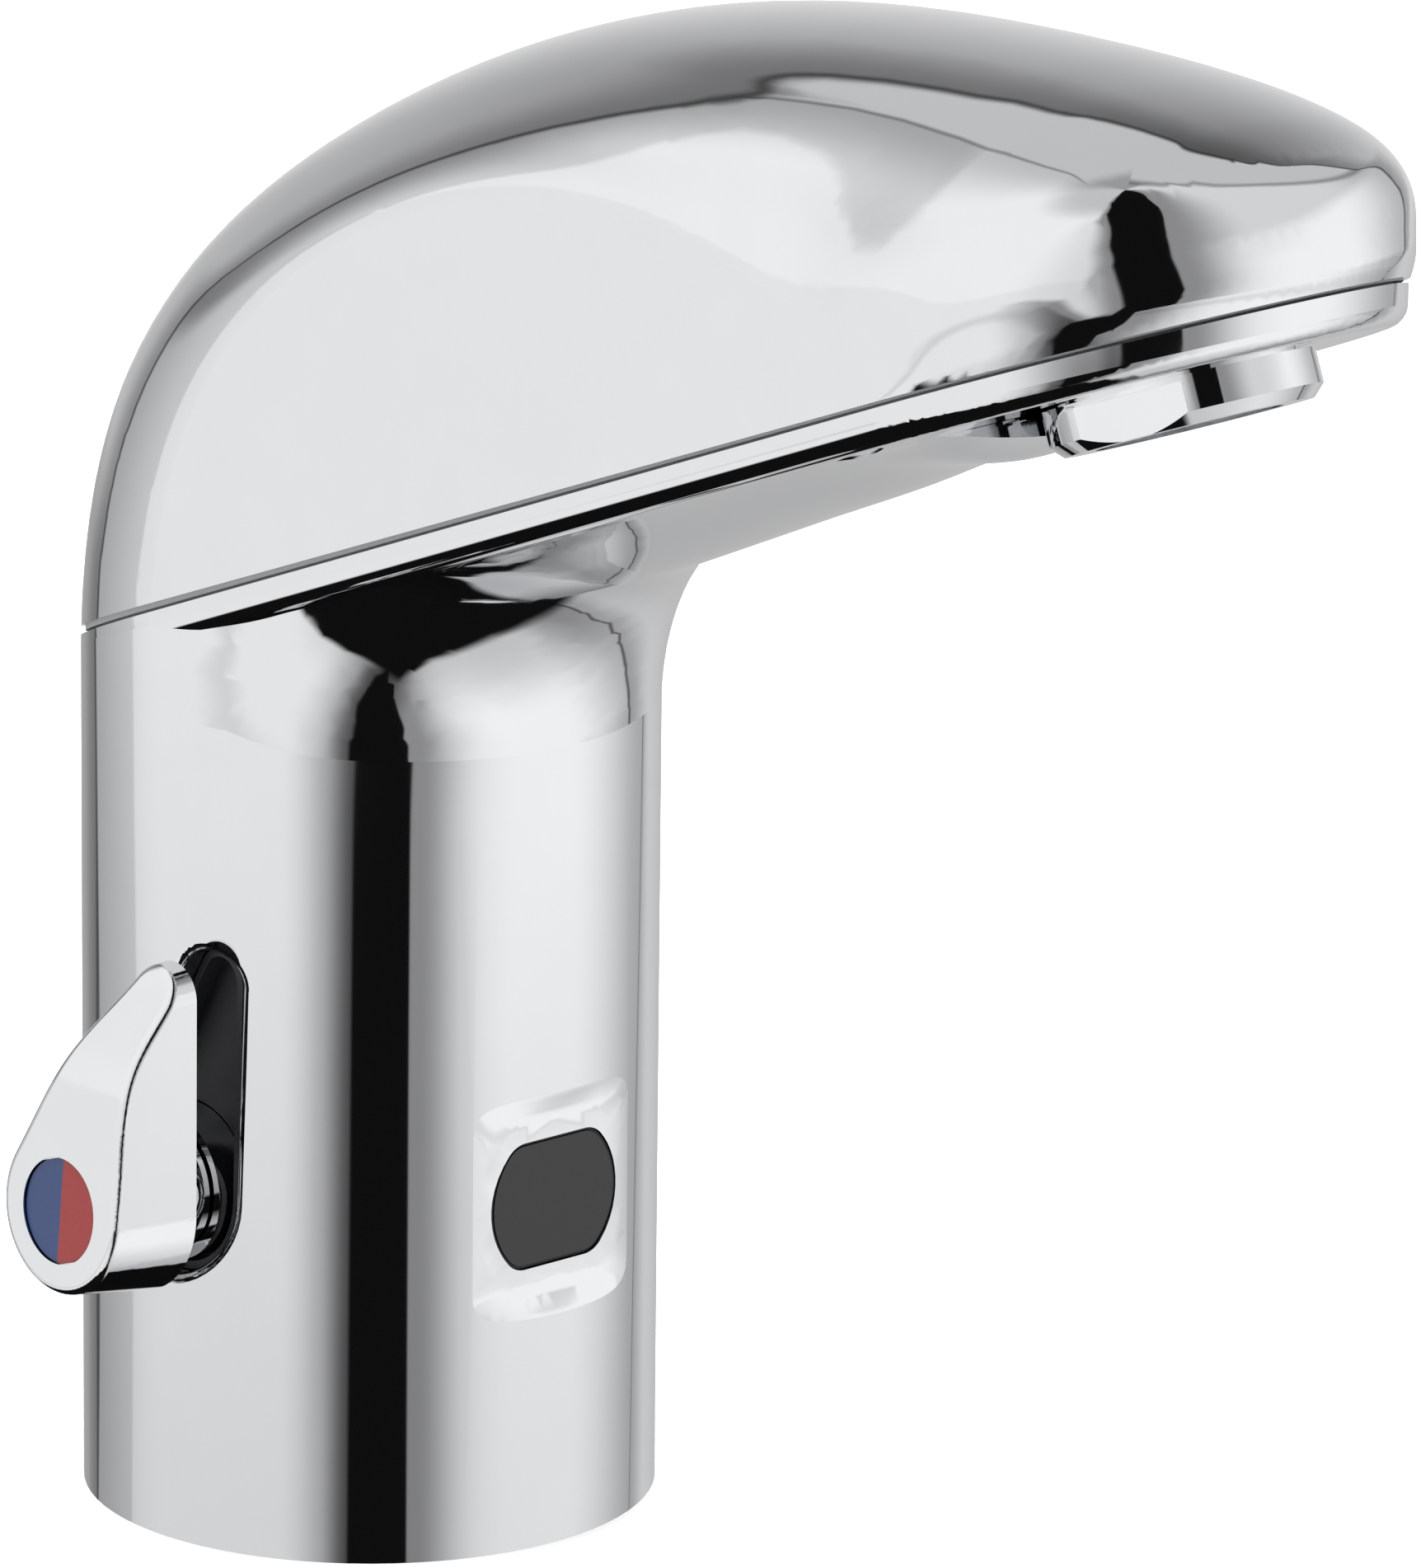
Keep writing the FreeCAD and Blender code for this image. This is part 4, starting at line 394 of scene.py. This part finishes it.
@dataclass(frozen=True)
class Tent:
    """The light tent round the tap, as its chrome mirrors it.

    Directions are in degrees: turn is measured from the camera's side, to the right; behind is measured
    from the far side, to the right; lift is above the horizon. Below the tap, the dark cloth under the glass
    table is drawn in plan: across to the right and ahead towards the camera, per unit of drop.

    Attributes:
        gap: Front gap's edges, as (lift, left turn, right turn).
        opening: Outline of the tent's open back, as (behind, lift), from under it and round by the right.
        opening_centre: The place that the outline is drawn round, as (behind, lift).
        cloth: Front edge of the dark cloth and its slant, then its right edge, that edge's bulge and the
            bulge's middle, then its back edge, all per unit of drop.
        right_seam: Upper seam on the right, as shares of right, of near and of high, and a constant.
        left_fold: Edge of the left wall's bright part, in the same way.
        pole: Standing seam above the opening: behind, the lift where it bends, and how fast it bends.
        least_drop: The cloth is drawn as if no direction fell less than this share.
        softbox_grey: What the chrome shows of the softbox on the right, as an sRGB grey.
        ceiling_grey: What it shows of the ceiling.
        gap_grey: What it shows of the front gap and of the cloth.
        fold_foot: Share of the light left at the foot of the left wall's fold.
    """

    gap: tuple[tuple[float, float, float], ...] = (
        (-54, -3, -3), (-46, -8, 3), (-30, -10, 14), (-15.2, -7, 15.5), (-14.2, 6, 29), (5, 9.5, 29.5),
        (30, 5, 29), (50, 1.5, 30), (62, -3, 32), (72, -8, 34), (80, -15, 40))
    opening: tuple[tuple[float, float], ...] = (
        (0, -75), (44, -40), (50, -30), (52, -20), (44, -16), (36, -10), (35, -3), (38, 10), (51, 22),
        (56, 38), (58, 55), (45, 60), (28, 61),
        (18, 59), (8, 52), (-8, 41), (-14, 38), (-28, 42), (-36, 41), (-48, 31), (-54, 21), (-54, 8),
        (-41, -1), (-38, -16), (-32, -40))
    opening_centre: tuple[float, float] = (0.0, 0.0)
    cloth: tuple[float, ...] = (0.78, 0.28, 0.29, -0.33, -0.05, -1.15)
    right_seam: tuple[float, ...] = (-0.748, 1.0, -1.601, 1.708)
    left_fold: tuple[float, ...] = (0.708, 1.0, -0.137, 0.923)
    pole: tuple[float, ...] = (-29.5, 62.0, 0.07)
    least_drop: float = 0.2
    softbox_grey: int = 236
    ceiling_grey: int = 186
    gap_grey: int = 14
    fold_foot: float = 0.93

    def bend(self, curve: bpy.types.Node, points: list[tuple[float, float]]) -> None:
        """Put an outline's points into a curve.

        Args:
            curve: The float curve.
            points: Its points, both values from 0 to 1, in any order.
        """
        line = curve.mapping.curves[0]
        ordered = sorted(points)
        while len(line.points) < len(ordered):
            line.points.new(0.5, 0.5)
        for handle, place in zip(line.points, ordered):
            handle.location = place
            handle.handle_type = "AUTO_CLAMPED"
        curve.mapping.update()

    def outline_turns(self) -> list[tuple[float, float]]:
        """Give the opening's outline as a share of a full turn and of a right angle from its centre."""
        middle, low = self.opening_centre
        polar = [(math.atan2(lift - low, behind - middle) / TAU % 1.0,
                  math.hypot(behind - middle, lift - low) / QUARTER_DEG) for behind, lift in self.opening]
        first, last = min(polar), max(polar)
        share = (1 - last[0]) / (1 - last[0] + first[0])
        joint = last[1] + share * (first[1] - last[1])
        return [(0.0, joint), *polar, (1.0, joint)]

    def brightness(self, tree: bpy.types.NodeTree,
                   made: dict[str, bpy.types.NodeSocket]) -> bpy.types.NodeSocket:
        """Work out how bright the studio is in each direction.

        Args:
            tree: The world's node tree.
            made: Sockets for right, near and high: the direction's share to the camera's right, towards it
                and up.

        Returns:
            A socket with the brightness.
        """
        for name, kind, settings, links in self.measures() + self.levels() + self.seams():
            added = node(tree, kind, settings, {at: made[source] for at, source in links.items()})
            made[name] = next(o for o in added.outputs if o.enabled)
            if name in ("gap_left", "gap_right"):
                column = 1 if name == "gap_left" else 2
                span = 2 * QUARTER_DEG
                shares = [[(angle + QUARTER_DEG) / span for angle in row] for row in self.gap]
                self.bend(added, [(row[0], row[column]) for row in shares])
            if name == "outline":
                self.bend(added, self.outline_turns())
        return made["shone"]

    def measures(self) -> list[tuple]:
        """List the nodes that measure a direction against the tent's edges.

        Returns:
            Rows of name, kind, settings and links, in the order they are added.
        """
        degrees = 360 / TAU
        to_share = {"operation": "MULTIPLY_ADD", 1: 1 / (2 * QUARTER_DEG), 2: 0.5}
        to_angle = {"operation": "MULTIPLY_ADD", 1: 2 * QUARTER_DEG, 2: -QUARTER_DEG}
        low = self.opening_centre[1]
        front, slant, side, bulge, bulge_at, back = self.cloth
        pole, pole_bend, pole_rate = self.pole
        rows = [
            ("turn_rad", MATH, {"operation": "ARCTAN2"}, {0: "right", 1: "near"}),
            ("turn", MATH, {"operation": "MULTIPLY", 1: degrees}, {0: "turn_rad"}),
            ("far", MATH, {"operation": "MULTIPLY", 1: -1.0}, {0: "near"}),
            ("behind_rad", MATH, {"operation": "ARCTAN2"}, {0: "right", 1: "far"}),
            ("behind", MATH, {"operation": "MULTIPLY", 1: degrees}, {0: "behind_rad"}),
            ("lift_rad", MATH, {"operation": "ARCSINE", "use_clamp": False}, {0: "high"}),
            ("lift", MATH, {"operation": "MULTIPLY", 1: degrees}, {0: "lift_rad"}),
            ("lift_share", MATH, to_share, {0: "lift"}),
            ("gap_left", CURVE, {}, {"Value": "lift_share"}),
            ("gap_right", CURVE, {}, {"Value": "lift_share"}),
            ("gap_left_at", MATH, to_angle, {0: "gap_left"}),
            ("gap_right_at", MATH, to_angle, {0: "gap_right"}),
            ("past_left", MATH, {"operation": "SUBTRACT"}, {0: "gap_left_at", 1: "turn"}),
            ("past_right", MATH, {"operation": "SUBTRACT"}, {0: "turn", 1: "gap_right_at"}),
            ("rise", MATH, {"operation": "SUBTRACT", 1: low}, {0: "lift"}),
            ("sweep_rad", MATH, {"operation": "ARCTAN2"}, {0: "rise", 1: "behind"}),
            ("sweep_signed", MATH, {"operation": "DIVIDE", 1: TAU}, {0: "sweep_rad"}),
            ("sweep", MATH, {"operation": "FLOORED_MODULO", 1: 1.0}, {0: "sweep_signed"}),
            ("outline", CURVE, {}, {"Value": "sweep"}),
            ("rise_square", MATH, {"operation": "MULTIPLY"}, {0: "rise", 1: "rise"}),
            ("arm_square", MATH, {"operation": "MULTIPLY_ADD"}, {0: "behind", 1: "behind", 2: "rise_square"}),
            ("arm", MATH, {"operation": "SQRT"}, {0: "arm_square"}),
            ("past_outline", MATH, {"operation": "MULTIPLY_ADD", 1: -QUARTER_DEG}, {0: "outline", 2: "arm"}),
            ("drop_plain", MATH, {"operation": "MULTIPLY", 1: -1.0}, {0: "high"}),
            ("drop", MATH, {"operation": "MAXIMUM", 1: self.least_drop}, {0: "drop_plain"}),
            ("across", MATH, {"operation": "DIVIDE"}, {0: "right", 1: "drop"}),
            ("ahead", MATH, {"operation": "DIVIDE"}, {0: "near", 1: "drop"}),
            ("bow", MATH, {"operation": "SUBTRACT", 1: bulge_at}, {0: "ahead"}),
            ("bow_square", MATH, {"operation": "MULTIPLY"}, {0: "bow", 1: "bow"}),
            ("side_at", MATH, {"operation": "MULTIPLY_ADD", 1: bulge, 2: side}, {0: "bow_square"}),
            ("past_side", MATH, {"operation": "SUBTRACT"}, {0: "across", 1: "side_at"}),
            ("front_at", MATH, {"operation": "MULTIPLY_ADD", 1: slant, 2: front}, {0: "across"}),
            ("past_front", MATH, {"operation": "SUBTRACT"}, {0: "ahead", 1: "front_at"}),
            ("past_back", MATH, {"operation": "SUBTRACT", 0: back}, {1: "ahead"}),
            ("past_two", MATH, {"operation": "MAXIMUM"}, {0: "past_side", 1: "past_front"}),
            ("past_cloth", MATH, {"operation": "MAXIMUM"}, {0: "past_two", 1: "past_back"}),
            ("above_bend", MATH, {"operation": "SUBTRACT", 1: pole_bend}, {0: "lift"}),
            ("over_bend", MATH, {"operation": "MAXIMUM", 1: 0.0}, {0: "above_bend"}),
            ("over_square", MATH, {"operation": "MULTIPLY"}, {0: "over_bend", 1: "over_bend"}),
            ("pole_lean", MATH, {"operation": "MULTIPLY_ADD", 1: pole_rate, 2: -pole}, {0: "over_square"}),
            ("past_pole", MATH, {"operation": "ADD"}, {0: "behind", 1: "pole_lean"}),
        ]
        edges = (("inside_seam", self.right_seam), ("inside_fold", self.left_fold))
        for name, (right, near, high, constant) in edges:
            rows += [
                (name + "_up", MATH, {"operation": "MULTIPLY_ADD", 1: high, 2: constant}, {0: "high"}),
                (name + "_out", MATH, {"operation": "MULTIPLY_ADD", 1: right}, {0: "right", 2: name + "_up"}),
                (name, MATH, {"operation": "MULTIPLY_ADD", 1: near}, {0: "near", 2: name + "_out"})]
        return rows

    def levels(self) -> list[tuple]:
        """List the nodes that give each part of the tent its brightness, in the same form as measures()."""
        # Each fade: name, what it follows, where it starts and ends, and its value before and after.
        fades = (
            # The left wall, with its fold and its far end
            ("left_wall", "turn", -35, 6, shown(232), shown(208)),
            ("left_top", "high", 0.90, 0.985, 1.0, 0.62),
            ("left_low", "lift", -11, -14, 0.0, 1.0),
            ("left_column", "turn", -38, -6, 1.0, 0.35),
            ("left_ramp", "past_left", 0, 11, 0.33, 1.0),
            ("fold_step", "inside_fold", 0.012, -0.012, 1.0, 0.78),
            ("fold_shade", "inside_fold", 0, -0.26, 1.0, 0.44),
            ("rear_low", "turn", -150, -90, 0.55, 1.0),
            ("rear_high", "turn", -150, -115, 0.6, 1.0),
            ("rear_lift", "lift", 20, 45, 0.0, 1.0),
            ("above_foot", "lift", -3, 1, 0.0, 1.0),
            # The right wall, its softbox and its far end
            ("right_wall", "past_right", 4, 34, shown(135), shown(206)),
            ("box_side", "past_right", 3, 46, 0.0, 1.0),
            ("box_top", "lift", 21, 12, 0.0, 1.0),
            ("end_low", "turn", 86, 140, 1.0, 0.42),
            ("end_high", "turn", 100, 145, 1.0, 0.5),
            ("end_lift", "lift", -13, -9, 0.0, 1.0),
            # Both walls near the table and below it
            ("foot", "lift", -14.5, -20, 1.0, 0.82),
            ("foot_end", "lift", -20, -24, 0.0, 1.0),
            ("low_shade", "high", -0.6, -0.97, 1.0, 0.6),
            # The open back
            ("open_edge", "behind", 40, 4, 1.0, 0.7),
            ("open_right", "lift", -8, 66, shown(190), shown(100)),
            ("open_left", "lift", 0, 44, shown(168), shown(138)),
            ("open_share", "behind", 2, -18, 0.0, 1.0),
            ("open_rim", "past_outline", -20, -1, 1.0, 0.6),
            # Where each part begins and ends
            ("to_right", "turn", 0, 14, 0.0, 1.0),
            ("over_seam", "inside_seam", 0.02, -0.02, 0.0, 1.0),
            ("over_pole", "past_pole", -0.5, 0.5, 0.0, 1.0),
            ("rear", "near", -0.15, -0.35, 0.0, 1.0),
            ("beside_pole", "behind", 20, 5, 0.0, 1.0),
            ("in_opening", "past_outline", 0.5, -0.5, 0.0, 1.0),
            ("edge_left", "past_left", -1, 1, 0.0, 1.0),
            ("edge_right", "past_right", -0.6, 0.6, 0.0, 1.0),
            ("edge_cloth", "past_cloth", -0.03, 0.05, 0.0, 1.0),
            ("over_cloth", "high", -0.62, -0.54, 0.0, 1.0),
        )
        rows = []
        for name, source, start, end, first, last in fades:
            fade = {"interpolation_type": "SMOOTHSTEP", "From Min": float(start), "From Max": float(end),
                    "To Min": first, "To Max": last}
            rows.append((name, RANGE, fade, {"Value": source}))
        return rows + [
            ("column_shade", MIX, {2: 1.0}, {0: "left_low", 3: "left_column"}),
            ("fold_fill", MIX, {2: self.fold_foot}, {0: "above_foot", 3: "fold_shade"}),
            ("left_topped", MATH, {"operation": "MULTIPLY"}, {0: "left_wall", 1: "left_top"}),
            ("left_columned", MATH, {"operation": "MULTIPLY"}, {0: "left_topped", 1: "column_shade"}),
            ("left_ramped", MATH, {"operation": "MULTIPLY"}, {0: "left_columned", 1: "left_ramp"}),
            ("left_stepped", MATH, {"operation": "MULTIPLY"}, {0: "left_ramped", 1: "fold_step"}),
            ("left_folded", MATH, {"operation": "MULTIPLY"}, {0: "left_stepped", 1: "fold_fill"}),
            ("left_rear", MIX, {}, {0: "rear_lift", 2: "rear_low", 3: "rear_high"}),
            ("left", MATH, {"operation": "MULTIPLY"}, {0: "left_folded", 1: "left_rear"}),
            ("box", MATH, {"operation": "MULTIPLY"}, {0: "box_side", 1: "box_top"}),
            ("right_boxed", MIX, {3: shown(self.softbox_grey)}, {0: "box", 2: "right_wall"}),
            ("right_end", MIX, {}, {0: "end_lift", 2: "end_low", 3: "end_high"}),
            ("right_ended", MATH, {"operation": "MULTIPLY"}, {0: "right_boxed", 1: "right_end"}),
            ("seam_right", MATH, {"operation": "MULTIPLY"}, {0: "over_seam", 1: "to_right"}),
            ("walls", MIX, {}, {0: "to_right", 2: "left", 3: "right_ended"}),
            ("foot_shade", MIX, {3: 1.0}, {0: "foot_end", 2: "foot"}),
            ("walls_foot", MATH, {"operation": "MULTIPLY"}, {0: "walls", 1: "foot_shade"}),
            ("walls_low", MATH, {"operation": "MULTIPLY"}, {0: "walls_foot", 1: "low_shade"}),
            ("pole_side", MATH, {"operation": "MULTIPLY"}, {0: "over_pole", 1: "beside_pole"}),
            ("pole_rear", MATH, {"operation": "MULTIPLY"}, {0: "pole_side", 1: "rear"}),
            ("ceiling_share", MATH, {"operation": "MAXIMUM"}, {0: "seam_right", 1: "pole_rear"}),
            ("roofed", MIX, {3: shown(self.ceiling_grey)}, {0: "ceiling_share", 2: "walls_low"}),
            ("open_mix", MIX, {}, {0: "open_share", 2: "open_right", 3: "open_left"}),
            ("edge_shade", MIX, {3: 1.0}, {0: "end_lift", 2: "open_edge"}),
            ("open_rimmed", MATH, {"operation": "MULTIPLY"}, {0: "open_mix", 1: "open_rim"}),
            ("open_level", MATH, {"operation": "MULTIPLY"}, {0: "open_rimmed", 1: "edge_shade"}),
            ("backed", MIX, {}, {0: "in_opening", 2: "roofed", 3: "open_level"}),
            ("beside_gap", MATH, {"operation": "MAXIMUM"}, {0: "edge_left", 1: "edge_right"}),
            ("off_cloth", MATH, {"operation": "MAXIMUM"}, {0: "edge_cloth", 1: "over_cloth"}),
            ("lit", MATH, {"operation": "MULTIPLY"}, {0: "beside_gap", 1: "off_cloth"}),
        ]

    def seams(self) -> list[tuple]:
        """List the nodes that darken the seams and fill the gap, in the same form as measures()."""
        rows = [
            ("off_opening", MATH, {"operation": "SUBTRACT", 0: 1.0}, {1: "in_opening"}),
            ("pole_place", MATH, {"operation": "MULTIPLY"}, {0: "off_opening", 1: "rear"}),
            ("upper_place", MATH, {"operation": "MULTIPLY"}, {0: "off_opening", 1: "to_right"})]
        # Each seam: name, what it follows, its half width, the light left in its middle and where it shows.
        lines = (
            ("outline_seam", "past_outline", 1.9, 0.25, "rear"),
            ("pole_seam", "past_pole", 1.5, 0.45, "pole_place"),
            ("upper_seam", "inside_seam", 0.06, 0.5, "upper_place"),
        )
        total = "backed"
        for name, source, half_width, kept, place in lines:
            near_it = {"interpolation_type": "SMOOTHSTEP", "From Min": 0.0, "From Max": half_width,
                       "To Min": kept, "To Max": 1.0}
            rows += [
                (name + "_off", MATH, {"operation": "ABSOLUTE"}, {0: source}),
                (name + "_dark", RANGE, near_it, {"Value": name + "_off"}),
                (name + "_here", MIX, {2: 1.0}, {0: place, 3: name + "_dark"}),
                (name, MATH, {"operation": "MULTIPLY"}, {0: total, 1: name + "_here"})]
            total = name
        return rows + [("shone", MIX, {2: shown(self.gap_grey)}, {0: "lit", 3: total})]


@dataclass
class Studio:
    """Pale floor, soft light and the camera at the photograph's angle.

    Attributes:
        distance: Camera to the column's axis over the ground, in metres.
        height: Camera above the deck, in metres.
        azimuth_deg: How far round from the spout's front the camera stands.
        yaw_deg: Turn to the right of the column's axis.
        pitch_deg: Tilt below the horizon.
        roll_deg: Roll of the picture.
        sensor_mm: Long side of the camera's sensor.
        lens_mm: Focal length on that sensor.
        table_radius: Radius of the pale floor, in metres.
        softbox_height: Height of the light overhead, in metres.
        softbox_side: Length of its side, in metres.
        softbox_watts: Its power.
        tent: The light tent round the tap.
    """

    distance: float = 1.2328
    height: float = 0.42065
    azimuth_deg: float = 41.3
    yaw_deg: float = 1.631
    pitch_deg: float = 15.66
    roll_deg: float = 0.605
    sensor_mm: float = 36.0
    lens_mm: float = 284.03
    table_radius: float = 6.0
    softbox_height: float = 2.6
    softbox_side: float = 3.0
    softbox_watts: float = 190.0
    tent: Tent = Tent()

    def add_camera(self) -> None:
        """Place the camera where the photograph was taken from."""
        yaw, pitch, roll = (math.radians(d) for d in (self.yaw_deg, self.pitch_deg, self.roll_deg))
        turn = Matrix.Rotation(-math.radians(self.azimuth_deg), 3, "Z")
        ahead = Vector((math.sin(yaw) * math.cos(pitch), math.cos(yaw) * math.cos(pitch), -math.sin(pitch)))
        level = Vector((math.cos(yaw), -math.sin(yaw), 0))
        over = level.cross(ahead)
        side = math.cos(roll) * level + math.sin(roll) * over
        up = -math.sin(roll) * level + math.cos(roll) * over
        axes = Matrix((turn @ side, turn @ up, turn @ -ahead)).transposed()
        place = turn @ Vector((0, -self.distance, self.height))
        data = bpy.data.cameras.new("photo_camera")
        data.sensor_width = self.sensor_mm
        data.lens = self.lens_mm
        data.clip_start = 0.05
        camera = bpy.data.objects.new("photo_camera", data)
        camera.matrix_world = Matrix.Translation(place) @ axes.to_4x4()
        bpy.context.scene.collection.objects.link(camera)
        bpy.context.scene.camera = camera

    def add_floor(self) -> None:
        """Lay a wide pale floor under the tap."""
        mesh = bpy.data.meshes.new("floor")
        form = bmesh.new()
        bmesh.ops.create_circle(form, cap_ends=True, radius=self.table_radius, segments=96)
        form.to_mesh(mesh)
        form.free()
        floor = bpy.data.objects.new("floor", mesh)
        bpy.context.scene.collection.objects.link(floor)
        made = bpy.data.materials.new("matt_white_table")
        made.use_nodes = True
        shader = made.node_tree.nodes["Principled BSDF"]
        shader.inputs["Base Color"].default_value = linear("f4f4f4")
        shader.inputs["Roughness"].default_value = 0.9
        mesh.materials.append(made)
        floor.visible_glossy = False

    def add_softbox(self) -> None:
        """Hang a large square light over the tap and aimed at it, which the chrome doesn't mirror."""
        data = bpy.data.lights.new("overhead_softbox", "AREA")
        data.size = self.softbox_side
        data.energy = self.softbox_watts
        lamp = bpy.data.objects.new("overhead_softbox", data)
        lamp.location = (0.0, 0.0, self.softbox_height)
        lamp.rotation_euler = lamp.location.to_track_quat("Z", "Y").to_euler()
        lamp.visible_glossy = False
        bpy.context.scene.collection.objects.link(lamp)

    def light_world(self) -> None:
        """Surround the tap with the softboxes, walls and dark gaps that its chrome mirrors."""
        world = bpy.data.worlds.new("studio")
        bpy.context.scene.world = world
        world.use_nodes = True
        tree = world.node_tree
        tree.nodes.clear()
        facing = node(tree, "ShaderNodeTexCoord").outputs["Generated"]
        turn = math.radians(self.azimuth_deg)
        axes = {"right": (math.cos(turn), -math.sin(turn), 0),
                "near": (-math.sin(turn), -math.cos(turn), 0),
                "high": (0, 0, 1)}
        shares = {}
        for name, axis in axes.items():
            along = node(tree, "ShaderNodeVectorMath", {"operation": "DOT_PRODUCT", 1: axis}, {0: facing})
            shares[name] = along.outputs["Value"]
        level = self.tent.brightness(tree, shares)
        back = node(tree, "ShaderNodeBackground", {"Color": (1, 1, 1, 1)}, {"Strength": level})
        node(tree, "ShaderNodeOutputWorld", {}, {"Surface": back.outputs["Background"]})

    def build(self) -> None:
        """Set the whole studio up."""
        bpy.context.scene.view_settings.view_transform = "Standard"
        self.add_camera()
        self.add_floor()
        self.light_world()
        self.add_softbox()
        log.info("studio ready")


def main() -> None:
    """Dress the tap group by group, then set up the studio."""
    logging.basicConfig(level=logging.INFO, format="%(message)s")
    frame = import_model()
    for group in (Shell, Aerator, SensorUnit, TemperatureLever, Waterways, SolenoidValve, Electronics):
        group(frame).dress()
    Springs(frame).stand_in()
    Studio().build()


if __name__ == "__main__":
    main()
